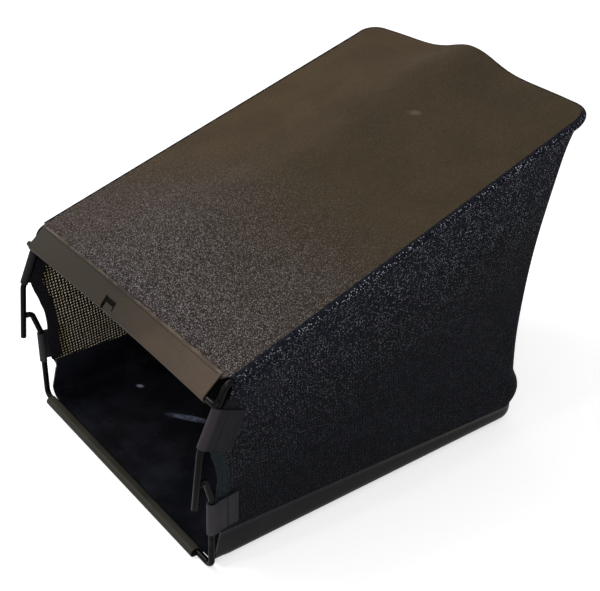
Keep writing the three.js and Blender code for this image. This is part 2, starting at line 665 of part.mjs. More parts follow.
// Straight grip from one rod point to another; outward is the direction that the flange side faces.
function straightGrip(section, from, to, outward) {
  const axis = to.clone().sub(from);
  const depth = axis.length();
  axis.normalize();
  const rearward = outward.clone().cross(axis).normalize();
  if (rearward.y < 0) rearward.negate();
  const out = outward.clone().addScaledVector(axis, -outward.dot(axis)).normalize();
  const rightHanded = rearward.clone().cross(out).dot(axis) > 0;
  const geometry = new THREE.ExtrudeGeometry(section, { depth, curveSegments: 7, bevelEnabled: false });
  const basis = new THREE.Matrix4();
  if (rightHanded) basis.makeBasis(rearward, out, axis).setPosition(from);
  else basis.makeBasis(rearward, out, axis.clone().negate()).setPosition(to);
  return geometry.applyMatrix4(basis);
}

function upperBinding(side) {
  const [low, high] = UPPER_BINDING_Z;
  const from = vec(side * legX(low), legY(low), low);
  const to = vec(side * legX(high), legY(high), high);
  const section = gripSection([CREASE.upper, RING_IN - 0.1], [FLANGE_UPPER, RING_IN - 0.4]);
  return straightGrip(section, from, to, vec(side, 0, 0));
}

function lowerBinding(side) {
  const high = LOWER_KNEE.z - (side < 0 ? BINDING_BELOW_KNEE.left : BINDING_BELOW_KNEE.right);
  const low = high - BINDING_LENGTH;
  const at = (z) => vec(side * lowerRodX(z), 0, z);
  const section = gripSection([CREASE.lower, 0.6], [FLANGE_LOWER, -0.4]);
  return straightGrip(section, at(low), at(high), vec(side, 0, 0));
}

function bottomBinding() {
  const [left, right] = CHANNEL_ENDS;
  const run = [[CREASE.channel, RING_IN], [FLANGE_CHANNEL, RING_IN]];
  const section = gripSection(...run, GRIP_MOUTH, CHANNEL_NOSE);
  return straightGrip(section, vec(left, 0, LOWER_Z), vec(right, 0, LOWER_Z), vec(0, 0, -1));
}

function solidOf(geometry) {
  geometry.deleteAttribute('normal');
  geometry.deleteAttribute('uv');
  const merged = mergeVertices(geometry, 1e-3);
  const vertProperties = new Float32Array(merged.attributes.position.array);
  const triVerts = new Uint32Array(merged.index.array);
  return new wasm.Manifold(new wasm.Mesh({ numProp: 3, vertProperties, triVerts }));
}

function geometryOf(solid) {
  const { numProp, vertProperties, triVerts } = solid.getMesh();
  const geometry = new THREE.BufferGeometry();
  const flat = [];
  for (let i = 0; i < vertProperties.length; i += numProp) {
    flat.push(...vertProperties.slice(i, i + 3));
  }
  geometry.setAttribute('position', new THREE.Float32BufferAttribute(flat, 3));
  geometry.setIndex([...triVerts]);
  return geometry;
}

// The strip over the crossbar: drawn straight, then laid on the crossbar's crown and turned to its tilt.
function topBinding() {
  const section = gripSection([CREASE.strip, RING_IN], [FLANGE_STRIP, RING_IN], STRIP_MOUTH);
  const depth = STRIP_HALF * 2;
  const settings = { depth, steps: 12, curveSegments: 7, bevelEnabled: false };
  const straight = new THREE.ExtrudeGeometry(section, settings);
  const position = straight.attributes.position;
  for (let i = 0; i < position.count; i += 1) {
    const x = STRIP_SHIFT - STRIP_HALF + position.getZ(i);
    const at = besideCrossbar(x, position.getX(i), position.getY(i));
    position.setXYZ(i, at.x, at.y, at.z);
  }
  const top = crossbarZ(NOTCH.x);
  const cutter = new THREE.BoxGeometry(NOTCH.width, NOTCH.to - NOTCH.from, NOTCH.depth);
  cutter.translate(NOTCH.x, (NOTCH.from + NOTCH.to) / 2, top + NOTCH.depth / 2 - NOTCH.floor);
  return geometryOf(solidOf(straight).subtract(solidOf(cutter)));
}

// A tape folded round the front edge of a side panel.
function hemTape(side) {
  const levels = wallLevels.filter((v) => v > TAPE_SPAN[0] && v < TAPE_SPAN[1]);
  const rowsOut = [];
  for (const v of levels) {
    const edge = clothWall(0, v);
    const behind = clothWall(0.03, v);
    const above = clothWall(0, Math.min(v + 0.01, 1));
    const back = behind.clone().sub(edge).normalize();
    const rise = above.sub(edge).normalize();
    const out = back.clone().cross(rise).normalize();
    back.copy(rise.clone().cross(out)).normalize();
    rowsOut.push({ edge, back, out });
  }
  const fold = FIT + TAPE;
  const loop = [
    [TAPE_WIDTH, fold],
    [TAPE_WIDTH / 2, fold],
    [TAPE_CHAMFER - fold, fold],
    [-fold, fold - TAPE_CHAMFER],
    [-fold, TAPE_CHAMFER - CLOTH - fold],
    [TAPE_CHAMFER - fold, -CLOTH - fold],
    [TAPE_WIDTH / 2, -CLOTH - fold],
    [TAPE_WIDTH, -CLOTH - fold],
  ];
  const rows = rowsOut.map(({ edge, back, out }) => loop.map(([a, b]) => {
    const at = edge.clone().addScaledVector(back, a).addScaledVector(out, b);
    return vec(side * at.x, at.y, at.z);
  }));
  return sheet(rows, TAPE, side > 0);
}

const group = new THREE.Group();
function add(name, geometry, look) {
  const mesh = new THREE.Mesh(geometry, look());
  mesh.name = name;
  group.add(mesh);
}

add('rail_rod', railFrame(), looks.rod);
add('crossbar_rod', crossbar(), looks.rod);
add('ridge_rod', ridgeRod(), looks.rod);
add('lower_rod', lowerRod(), looks.rod);
add('tray', tray(), looks.tray);
add('top_panel', topPanel(), looks.topCloth);
add('rear_panel', rearPanel(), looks.sideCloth);
add('top_binding', topBinding(), looks.vinyl);
add('bottom_binding', bottomBinding(), looks.vinyl);
for (const [name, side] of [['left', -1], ['right', 1]]) {
  add(`side_panel_${name}`, sidePanel(side), looks.sideCloth);
  add(`hem_tape_${name}`, hemTape(side), looks.tape);
  add(`upper_binding_${name}`, upperBinding(side), looks.sideVinyl);
  add(`lower_binding_${name}`, lowerBinding(side), looks.sideVinyl);
}

const box = new THREE.Box3().setFromObject(group, true);
for (const mesh of group.children) mesh.position.y = -(box.min.y + box.max.y) / 2;

export default group;
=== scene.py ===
"""Looks of the grass collection bag: knit cloth sewn on a painted rod frame, bindings and a tray.

Shapes are laid out in millimetres, with Y 0 at the bottom front rod and Z 0 under the tray, from
the same sizes as the part's source. put() shifts them to the frame, in metres.
"""
import math
import random

import bmesh
import bpy
import numpy as np
from mathutils import Matrix, Vector


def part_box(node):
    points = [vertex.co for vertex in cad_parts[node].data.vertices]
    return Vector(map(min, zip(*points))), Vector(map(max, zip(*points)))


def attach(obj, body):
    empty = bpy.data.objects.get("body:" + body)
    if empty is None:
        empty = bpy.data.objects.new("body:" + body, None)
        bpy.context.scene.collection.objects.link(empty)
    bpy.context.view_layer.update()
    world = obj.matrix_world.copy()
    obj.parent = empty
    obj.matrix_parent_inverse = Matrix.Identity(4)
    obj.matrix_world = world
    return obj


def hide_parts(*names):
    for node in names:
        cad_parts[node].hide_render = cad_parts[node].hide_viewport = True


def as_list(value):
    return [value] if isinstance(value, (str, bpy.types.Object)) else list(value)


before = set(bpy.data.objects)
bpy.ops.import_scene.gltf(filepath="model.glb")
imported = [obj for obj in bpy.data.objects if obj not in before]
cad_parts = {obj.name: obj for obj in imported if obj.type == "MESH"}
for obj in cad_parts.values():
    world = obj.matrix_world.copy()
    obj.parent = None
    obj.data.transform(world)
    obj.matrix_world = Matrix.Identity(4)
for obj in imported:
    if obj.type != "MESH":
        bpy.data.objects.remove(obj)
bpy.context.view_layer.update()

# Sizes of the part's source, in millimetres.
ROD_R = 4.0
FIT = 0.3
CLOTH = 1.5
VINYL = 1.6
FRAME_HALF = 215.0
RAIL_HALF_FRONT = 222.0
RAIL_HALF_REAR = 212.0
RAIL_FRONT = {"y": 16.8, "z": 265.6, "bend": 16.0}
RAIL_REAR = {"y": 581.5, "z": 453.0, "bend": 25.0}
LEG_KNEE = {"x": 220.8, "y": -17.0, "z": 188.5, "bend": 20.0}
LEG_TIP = {"x": 219.8, "y": -25.0, "z": 110.5}
REAR_CROWN = 3.5
HUMP = {"height": 19.5, "spread": 38.0, "blend": 130.0}
CROSSBAR_Z = 248.5
CROSSBAR_CROWN = 5.0
CROSSBAR_OVERHANG = 4.0
RIDGE_PATH = ((0.0785, 13.2), (0.2028, 30.6), (0.4744, 30.2), (0.739, 31.6), (0.8952, 33.3))
RIDGE_CLOTH = ((0.003, 14.6), (0.027, 15.6), (0.0785, 22.2), (0.1406, 31.9), (0.2028, 38.6),
               (0.4744, 37.6), (0.739, 39.0), (0.8952, 41.1), (1.0, 30.8))
LOWER_Z = 6.2
LOWER_BEND = 10.0
LOWER_KNEE = {"x": 216.4, "y": 0.0, "z": 111.5, "bend": 15.0}
STUB_BEND = {"x": 218.8, "y": -9.5, "z": 143.5, "bend": 6.0}
TRAY_HALF = 213.0
TRAY_REAR = 530.6
TRAY_FRONT = 7.6
TRAY_CORNER = 32.0
TRAY_EDGE = 18.0
TRAY_WALL = 2.2
TRAY_HEIGHT = 63.5
TRAY_LIP = {"rise": 2.3, "end": 22.0, "ramp": 5.0}
LEDGE_FRONT_Z = 51.0
LEDGE_REAR_Z = 27.5
LEDGE_STEP = 2.2
RIM_FRONT_Y = 15.0
WRAP_FRONT = 26.0
SLEEVE_END = -1.9
SEAM_STEP = 0.18
SEAM_GAP = 0.0002
TOP_START = 1.72
FACE_INSET = 0.4
SIDE_DRAW_IN = 6.0
CORNER_DRAW_IN = 15.0
CORNER_SHARPNESS = 0.8
REAR_DRAW_IN = 12.0
CORNER_REACH = 0.12
RIM_BULGE = 7.0
RIM_SHARE = 0.1
BULGE_SHARE = 0.13
RIM_TOP = TRAY_HEIGHT + 2.0
PANEL_BEHIND_ROD = 9.5
EDGE_SLACK = 3.0
CLOTH_IN_LOWER = 2.0
CLOTH_OUT_LEG = 1.5
EDGE_REACH = 60.0
TAPE_WIDTH = 15.0
UPPER_BINDING_Z = (193.5, 241.0)
LOWER_BINDING_TOP = {-1: 111.0, 1: 105.5}
BINDING_LENGTH = 46.0
STRIP_HALF = 213.0
STRIP_SHIFT = -3.0
STRIP_TILT = 0.7
STRIP_TILT_MIDDLE = 0.19
STRIP_FLANGE = 32.0
NOTCH = {"x": -5.0, "width": 25.0, "front": -12.0, "rear": 4.5}
NOTCH_SLOTS = {"left": 6.5, "rear_from": -0.3, "right": 2.6, "right_from": -3.5}
NOTCH_DEPTH = (-0.5, 20.0)          # below and above the crossbar's axis
CHANNEL_ENDS = (-198.5, 184.0)
CHANNEL_FLANGE = 19.0
CHANNEL_NOSE = 4.5
RIDGE_SOFTNESS = 0.12
CUTBACK_FROM = 0.88
RING_IN = ROD_R + FIT
RING_OUT = RING_IN + VINYL
WRAP = ROD_R + FIT + CLOTH
SIDE_END, ARC_END = 0.62, 0.74
CORNER_P = (SIDE_END + ARC_END) / 2
SHIFT_Y = TRAY_REAR - 1000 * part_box("tray")[1].y

# Visual details.
MESH_PITCH = 4.4                    # between the holes of the side cloth
CLOTH_START = 2.5                   # where the top cloth begins behind the crossbar's middle
UNDER_STRIP_Y = 20.0                # where the top cloth goes under the strip
STRIP_EDGE = {"z": 282.1, "bow": 0.172}   # height of its rear edge at the middle, fall over X squared
SHOWN_CLOTH = 0.5                   # knit, thinner than the solid that stands for it
SHOWN_TAPE = 0.8
ROD_SIDES = 20
GRIP_MOUTH = 5.1                    # turn, in radians, at which a binding's ring ends
STRIP_MOUTH = 4.9
STITCH_INSET = 4.0                  # of stitches from a flange's free edge
STITCH_LIFT = 0.1
STRIP_STITCHES = (-212, 206)
SEAM_STITCHES = 0.975               # levels of the side cloth at which the runs lie
RIM_STITCHES = 0.055
TAPE_STITCHES = (3.0, TAPE_WIDTH - 5)
SHOWN_TAPE_SPAN = (0.1, 0.92)       # levels of the side cloth between which the tape shows
DRAWN_IN = 0.9                      # of the cloth between frame and tray, with its unevenness
UNEVEN = 0.55
DENT = {"x": -20.0, "y": 58.0, "half": (13.0, 9.0), "depth": 3.6}
STUB_WELD_ABOVE = 0.6               # of the weld over the bend of the lower rod's stub
STUB_WELD = (4.6, 2.6)              # radius and length of each bead
BAR_WELD = (3.6, 3.6)
RIDGE_WELD = (4.7, 2.6)
RIDGE_BENDS = {"front": 40, "others": 120}


# Camera: the photograph's position and lens.
CAMERA = {"x": 1039.8, "y": -533.2, "z": 958.8, "yaw": 51.64, "pitch": 30.47, "roll": 1.95}
SENSOR_MM = 36.0
FOCAL_PX = 1111.9
FRAME_PX = (600.0, 591.0)
CENTRE_PX = (299.5, 296.2)


def make_camera():
    yaw, pitch, roll = (math.radians(CAMERA[k]) for k in ("yaw", "pitch", "roll"))
    back = Vector((math.sin(yaw) * math.cos(pitch), -math.cos(yaw) * math.cos(pitch), math.sin(pitch)))
    right = (-back).cross(Vector((0, 0, 1))).normalized()
    up = right.cross(-back)
    turned = right * math.cos(roll) + up * math.sin(roll)
    up = up * math.cos(roll) - right * math.sin(roll)
    data = bpy.data.cameras.new("camera")
    data.sensor_width = SENSOR_MM
    data.lens = FOCAL_PX / FRAME_PX[0] * data.sensor_width
    data.shift_x = (FRAME_PX[0] / 2 - CENTRE_PX[0]) / FRAME_PX[0]
    data.shift_y = (CENTRE_PX[1] - FRAME_PX[1] / 2) / FRAME_PX[0]
    camera = bpy.data.objects.new("camera", data)
    camera.matrix_world = Matrix((turned, up, back)).transposed().to_4x4()
    camera.location = (CAMERA["x"] / 1000, (CAMERA["y"] - SHIFT_Y) / 1000, CAMERA["z"] / 1000)
    bpy.context.scene.collection.objects.link(camera)
    bpy.context.scene.camera = camera


make_camera()


# Small mathematics.
def vec(x, y, z):
    return np.array((x, y, z), float)


def unit(v):
    return v / np.linalg.norm(v)


def lerp(a, b, t):
    return a + (b - a) * t


def clamp(t):
    return min(max(t, 0.0), 1.0)


def smooth(t):
    t = clamp(t)
    return t * t * (3 - 2 * t)


def curve_through(pairs):
    """A centripetal curve through [position, value] pairs, as two arrays to interpolate in."""
    points = [np.array(p, float) for p in pairs]
    last = len(points) - 1
    points = [2 * points[0] - points[1], *points, 2 * points[last] - points[last - 1]]
    found = []
    count = 6 * (last + 1)
    for k in range(count + 1):
        at = last * k / count
        i = min(int(at), last - 1)
        t = at - i
        p0, p1, p2, p3 = points[i:i + 4]
        d0, d1, d2 = (math.sqrt(np.linalg.norm(b - a)) for a, b in ((p0, p1), (p1, p2), (p2, p3)))
        start = ((p1 - p0) / d0 - (p2 - p0) / (d0 + d1) + (p2 - p1) / d1) * d1
        end = ((p2 - p1) / d1 - (p3 - p1) / (d1 + d2) + (p3 - p2) / d2) * d1
        square = 3 * (p2 - p1) - 2 * start - end
        cube = 2 * (p1 - p2) + start + end
        found.append(p1 + t * (start + t * (square + t * cube)))
    xs, ys = np.array(found).T
    return xs, ys


# Frame lines.
def rail_line_z(y):
    slope = (RAIL_REAR["z"] - RAIL_FRONT["z"]) / (RAIL_REAR["y"] - RAIL_FRONT["y"])
    return RAIL_FRONT["z"] + slope * (y - RAIL_FRONT["y"])


def over_rails(pairs):
    found = []
    for share, rise in pairs:
        y = lerp(RAIL_FRONT["y"], RAIL_REAR["y"], share)
        found.append((y, rail_line_z(y) + rise))
    return found


def rear_rod_z(x):
    crown = REAR_CROWN * (1 - (abs(x) / 200) ** 4)
    return RAIL_REAR["z"] + crown + HUMP["height"] * math.exp(-x * x / (2 * HUMP["spread"] ** 2))


def leg_y(z):
    part = (RAIL_FRONT["z"] - z) / (RAIL_FRONT["z"] - LEG_KNEE["z"])
    return lerp(RAIL_FRONT["y"], LEG_KNEE["y"], part)


def leg_x(z):
    part = (RAIL_FRONT["z"] - z) / (RAIL_FRONT["z"] - LEG_KNEE["z"])
    return lerp(RAIL_HALF_FRONT, LEG_KNEE["x"], part)


def leg_end(z):
    part = (LEG_KNEE["z"] - z) / (LEG_KNEE["z"] - LEG_TIP["z"])
    return lerp(corner_of(LEG_KNEE), corner_of(LEG_TIP), part)


def corner_of(place):
    return vec(place["x"], place["y"], place["z"])


def lower_rod_x(z):
    return lerp(FRAME_HALF, LOWER_KNEE["x"], (z - LOWER_Z) / (LOWER_KNEE["z"] - LOWER_Z))


LEG_SLOPE = (RAIL_FRONT["y"] - LEG_KNEE["y"]) / (RAIL_FRONT["z"] - LEG_KNEE["z"])
LEG_LEAN = math.atan2(RAIL_FRONT["y"] - LEG_KNEE["y"], RAIL_FRONT["z"] - LEG_KNEE["z"])
CROSSBAR_Y = leg_y(CROSSBAR_Z) - (2 * ROD_R + FIT) / math.cos(LEG_LEAN)


def crossbar_z(x):
    return CROSSBAR_Z + CROSSBAR_CROWN * (1 - (x / RAIL_HALF_FRONT) ** 2)


def outline(p, half_front, half_rear, front, rear, radius):
    """Point and outward direction on the plan outline: side, rear corner, then the rear's half."""
    lean = math.atan2(half_rear - half_front, rear - front)
    side = half_front + (half_rear - half_front) * (rear - radius - front) / (rear - front)
    if p <= SIDE_END:
        y = front + (rear - radius - front) * p / SIDE_END
        x = half_front + (half_rear - half_front) * (y - front) / (rear - front)
        return x, y, math.cos(lean), -math.sin(lean)
    if p <= ARC_END:
        turn = math.pi / 2 * (p - SIDE_END) / (ARC_END - SIDE_END)
        out = math.cos(turn), math.sin(turn)
        return side - radius + radius * out[0], rear - radius + radius * out[1], *out
    return (side - radius) * (1 - (p - ARC_END) / (1 - ARC_END)), rear, 0.0, 1.0


def rail_centre(p):
    narrowing = (RAIL_HALF_FRONT - RAIL_HALF_REAR) / (RAIL_REAR["y"] - RAIL_FRONT["y"])
    half = RAIL_HALF_FRONT - narrowing * (WRAP_FRONT - RAIL_FRONT["y"])
    x, y, _, _ = outline(p, half, RAIL_HALF_REAR, WRAP_FRONT, RAIL_REAR["y"], RAIL_REAR["bend"])
    part = clamp((p - SIDE_END) / (ARC_END - SIDE_END))
    return vec(x, y, lerp(rail_line_z(y), rear_rod_z(x), part))


def rail_outline(p):
    step = 0.004
    along = unit(rail_centre(min(p + step, 1)) - rail_centre(max(p - step, 0)))
    out = unit(np.cross(along, (0, 0, 1)))
    return rail_centre(p), out, np.cross(out, along)


def rail_wrap(p, angle, radius=WRAP):
    centre, out, up = rail_outline(p)
    return centre + out * radius * math.cos(angle) + up * radius * math.sin(angle)


def ledge_z(y):
    return lerp(LEDGE_FRONT_Z, LEDGE_REAR_Z, clamp(y / TRAY_REAR))


def behind_leg(z):
    return leg_y(z) + PANEL_BEHIND_ROD


def front_edge_tables():
    low, high = LOWER_KNEE["z"] + 6, UPPER_BINDING_Z[0]
    free = []
    for part in (0, 0.2, 0.4, 0.6, 0.8, 1):
        straight = lerp(PANEL_BEHIND_ROD, behind_leg(high), smooth(part))
        free.append((lerp(low, high, part), straight + EDGE_SLACK * math.sin(math.pi * part)))
    top = UPPER_BINDING_Z[1] + 7
    rim = TRAY_HEIGHT
    edge_y = [(rim - 36, RIM_FRONT_Y + 1), (rim - 8, RIM_FRONT_Y), (rim, RIM_FRONT_Y - 3),
              (rim + 12, PANEL_BEHIND_ROD), *free, (top, behind_leg(top) + 0.8),
              (RAIL_FRONT["z"] - 7.6, WRAP_FRONT - 2), (RAIL_FRONT["z"] + 8.4, WRAP_FRONT)]
    face = TRAY_HALF - FACE_INSET
    edge_x = [(rim - 36, face), (RIM_TOP, face)]
    edge_x += [(z, lower_rod_x(z) - CLOTH_IN_LOWER) for z in (rim + 16, LOWER_KNEE["z"])]
    edge_x += [(z, leg_x(z) + CLOTH_OUT_LEG) for z in (LEG_KNEE["z"] + 3, top)]
    return edge_y, edge_x


FRONT_EDGE, FRONT_EDGE_X = front_edge_tables()
EDGE_Y_CURVE = curve_through(FRONT_EDGE)
EDGE_X_CURVE = curve_through(FRONT_EDGE_X)
RIDGE_CURVE = curve_through(over_rails(RIDGE_CLOTH))


def frontward(p, y, z):
    origin = lerp(RIM_FRONT_Y, WRAP_FRONT, (z - RIM_TOP) / (RAIL_FRONT["z"] - RIM_TOP))
    return y + (np.interp(z, *EDGE_Y_CURVE) - origin) * (1 - p / SIDE_END) ** 2


def cloth_wall(p, v):
    """Outer face of the side and rear cloth: from the tray's ledge (v 0) up to the rail (v 1), then
    round the outside of the rail to the seam with the top cloth (v 2)."""
    if v > 1:
        return rail_wrap(p, lerp(SLEEVE_END, TOP_START - SEAM_STEP, v - 1))
    seam = rail_wrap(p, SLEEVE_END)
    half = TRAY_HALF - FACE_INSET
    x, y, nx, ny = outline(p, half, half, RIM_FRONT_Y, TRAY_REAR - FACE_INSET, TRAY_CORNER - FACE_INSET)
    low = ledge_z(y) + FIT
    corner = math.exp(-((p - CORNER_P) / CORNER_REACH) ** 2)
    bulge = RIM_BULGE * corner ** 2 * math.sin(math.pi * min(v / BULGE_SHARE, 1))
    x += bulge * nx
    y += bulge * ny
    if v <= RIM_SHARE:
        z = low + (RIM_TOP - low) * v / RIM_SHARE
        return vec(x, frontward(p, y, z) if p < SIDE_END else y, z)
    w = (v - RIM_SHARE) / (1 - RIM_SHARE)
    arch = 4 * w * (1 - w)
    z = lerp(RIM_TOP, seam[2], w)
    at = lerp(vec(x, y, RIM_TOP), seam, w)
    draw = SIDE_DRAW_IN if p < CORNER_P else REAR_DRAW_IN
    depth = draw * arch * (1 - corner) + CORNER_DRAW_IN * arch ** CORNER_SHARPNESS * corner
    out = rail_outline(p)[1]
    at[0] -= depth * lerp(nx, out[0], w)
    at[1] -= depth * lerp(ny, out[1], w)
    if p < SIDE_END:
        free = smooth((1 - w) * 12)
        at[1] = lerp(at[1], frontward(p, at[1], z), free)
        edge = np.interp(z, *np.array(FRONT_EDGE).T)
        near = math.exp(-((at[1] - edge) / EDGE_REACH) ** 2)
        at[0] += (np.interp(z, *EDGE_X_CURVE) - at[0]) * near * free
    return at


def strip_tilt(x):
    return STRIP_TILT + STRIP_TILT_MIDDLE * (1 - (x / RAIL_HALF_FRONT) ** 2)


def beside_crossbar(x, along, off):
    c, s = math.cos(strip_tilt(x)), math.sin(strip_tilt(x))
    return vec(x, CROSSBAR_Y + along * c - off * s, crossbar_z(x) + along * s + off * c)


# Meshes.
def put(name, points, faces, finish, slot, nodes=(), sharp=40, flat=None):
    """A mesh piece from layout points in millimetres; it rides on the root body. flat holds each
    point's place on the cloth laid flat."""
    mesh = bpy.data.meshes.new(name)
    shifted = (np.array(points, float) - (0, SHIFT_Y, 0)) / 1000
    mesh.from_pydata(shifted.tolist(), [], [list(map(int, f)) for f in faces])
    if flat is not None:
        corners = np.empty(len(mesh.loops), int)
        mesh.loops.foreach_get("vertex_index", corners)
        mesh.uv_layers.new(name="cloth").data.foreach_set("uv", np.array(flat)[corners].ravel())
    mesh.validate()
    mesh.shade_smooth()
    mesh.set_sharp_from_angle(angle=math.radians(sharp))
    mesh.materials.append(finish)
    piece = bpy.data.objects.new(name, mesh)
    bpy.context.scene.collection.objects.link(piece)
    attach(piece, "root")
    if nodes:
        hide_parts(*nodes)
    return piece


def grid_faces(rows, columns, flip, first=0):
    faces = []
    for r in range(rows - 1):
        for c in range(columns - 1):
            a = first + r * columns + c
            b = a + columns
            faces.append((a, a + 1, b + 1, b) if flip else (a, b, b + 1, a + 1))
    return faces


def ring_faces(rings, size):
    """Faces of a body made of equal rings of points, with capped ends."""
    faces = []
    for r in range(rings - 1):
        for k in range(size):
            n = (k + 1) % size
            faces.append((r * size + k, r * size + n, (r + 1) * size + n, (r + 1) * size + k))
    faces.append(tuple(reversed(range(size))))
    faces.append(tuple(range((rings - 1) * size, rings * size)))
    return faces


def grid_border(rows, columns):
    """Indices along a grid's first column, last row and last column, back to its first row."""
    border = [r * columns for r in range(rows)]
    border += [(rows - 1) * columns + c for c in range(1, columns)]
    return border + [r * columns + columns - 1 for r in range(rows - 2, -1, -1)]


def thicken(points, faces, thickness):
    """Closes an open surface into a sheet, its rim joined by one row of faces."""
    points = np.array(points, float)
    normals = np.zeros_like(points)
    for face in faces:
        corners = points[list(face)]
        cross = np.cross(corners[2] - corners[0], corners[-1] - corners[1])
        normals[list(face)] += cross
    normals /= np.linalg.norm(normals, axis=1)[:, None]
    count = len(points)
    inner = points - normals * thickness
    edges = {}
    for face in faces:
        for a, b in zip(face, (*face[1:], face[0])):
            if (b, a) in edges:
                del edges[(b, a)]
            else:
                edges[(a, b)] = None
    closed = [tuple(f) for f in faces] + [tuple(i + count for i in reversed(f)) for f in faces]
    closed += [(b, a, a + count, b + count) for a, b in edges]
    return np.concatenate([points, inner]), closed


def laid_flat(rows):
    """Each point's distance in metres along its row from the first column, and along its column
    from the last row."""
    grid = np.array(rows, float)
    along = np.linalg.norm(np.diff(grid, axis=1), axis=2)
    across = np.linalg.norm(np.diff(grid, axis=0), axis=2)
    u = np.pad(np.cumsum(along, 1), ((0, 0), (1, 0)))
    v = np.pad(np.cumsum(across[::-1], 0), ((1, 0), (0, 0)))[::-1]
    return np.stack([u, v], 2).reshape(-1, 2) / 1000


def sheet_piece(name, rows, finish, slot, nodes, thickness, flip):
    points = np.array(rows, float).reshape(-1, 3)
    faces = grid_faces(len(rows), len(rows[0]), flip)
    flat = np.tile(laid_flat(rows), (2, 1))
    return put(name, *thicken(points, faces, thickness), finish, slot, nodes, flat=flat)


def corner_arc(before, corner, after, bend, step=0.12):
    back, ahead = unit(before - corner), unit(after - corner)
    half = math.acos(float(np.clip(back @ ahead, -1, 1))) / 2
    centre = corner + unit(back + ahead) * bend / math.sin(half)
    start = corner + back * bend / math.tan(half) - centre
    end = corner + ahead * bend / math.tan(half) - centre
    turn = math.pi - 2 * half
    steps = max(2, math.ceil(turn / step))
    shares = [k / steps for k in range(steps + 1)]
    return [(start * math.sin(turn * (1 - s)) + end * math.sin(turn * s)) / math.sin(turn) + centre
            for s in shares]


def round_corners(corners):
    points = [corners[0][0]]
    for (a, _), (b, bend), (c, _) in zip(corners, corners[1:], corners[2:]):
        points += corner_arc(a, b, c, bend) if bend else [b]
    return [*points, corners[-1][0]]


def tube(points, radius=ROD_R, sides=ROD_SIDES, round_end=0.7):
    """A swept rod with softened ends: its points and faces."""
    points = [np.array(p, float) for p in points]
    tangents = []
    for i, at in enumerate(points):
        before, after = points[max(i - 1, 0)], points[min(i + 1, len(points) - 1)]
        joined = (unit(at - before) if i else 0) + (unit(after - at) if i < len(points) - 1 else 0)
        tangents.append(unit(joined))
    across = unit(np.cross(tangents[0], (0.3, 0.2, 1.0)))
    found = []

    def ring(at, tangent, size):
        nonlocal across
        across = unit(across - tangent * (across @ tangent))
        other = np.cross(tangent, across)
        for k in range(sides):
            turn = 2 * math.pi * k / sides
            found.append(at + size * (across * math.cos(turn) + other * math.sin(turn)))

    ends = ((0.0, radius - round_end), (0.3 * round_end, radius - 0.3 * round_end), (round_end, radius))
    for inset, size in ends:
        ring(points[0] + tangents[0] * inset, tangents[0], size)
    for at, tangent in zip(points[1:-1], tangents[1:-1]):
        ring(at, tangent, radius)
    for inset, size in reversed(ends):
        ring(points[-1] - tangents[-1] * inset, tangents[-1], size)
    return found, ring_faces(len(found) // sides, sides)


def joined(parts):
    """Several (points, faces) as one."""
    points, faces = [], []
    for more, its_faces in parts:
        first = len(points)
        points.extend(more)
        faces.extend(tuple(i + first for i in face) for face in its_faces)
    return points, faces


def mirrored_path(right):
    left = [(p * (-1, 1, 1), bend) for p, bend in right]
    middle = right[1:] if abs(right[0][0][0]) < 1e-9 else right
    return [*reversed(left), *middle]


# Procedural finishes.
def colour(red, green, blue):
    """A colour written as it shows on a screen, 0 to 255, as linear light."""
    def linear(value):
        share = value / 255
        return share / 12.92 if share <= 0.04045 else ((share + 0.055) / 1.055) ** 2.4
    return (linear(red), linear(green), linear(blue), 1.0)


class Nodes:
    """Adds nodes to a tree and links them."""

    def __init__(self, tree):
        self.tree = tree

    def node(self, kind, settings=None, **inputs):
        made = self.tree.nodes.new(kind)
        for key, value in (settings or {}).items():
            setattr(made, key, value)
        for key, value in inputs.items():
            self.feed(made.inputs[key.replace("_", " ")], value)
        return made

    def feed(self, socket, value):
        if isinstance(value, bpy.types.NodeSocket):
            self.tree.links.new(value, socket)
        else:
            socket.default_value = value

    def math(self, operation, a, b=0.0):
        made = self.tree.nodes.new("ShaderNodeMath")
        made.operation = operation
        self.feed(made.inputs[0], a)
        self.feed(made.inputs[1], b)
        return made.outputs[0]

    def plus(self, a, b):
        return self.math("ADD", a, b)

    def minus(self, a, b):
        return self.math("SUBTRACT", a, b)

    def times(self, a, b):
        return self.math("MULTIPLY", a, b)

    def ramp(self, value, low, high, start=0.0, end=1.0):
        settings = {"interpolation_type": "SMOOTHSTEP"}
        made = self.node("ShaderNodeMapRange", settings, Value=value)
        for socket, number in zip(made.inputs[1:5], (low, high, start, end)):
            socket.default_value = number
        return made.outputs[0]


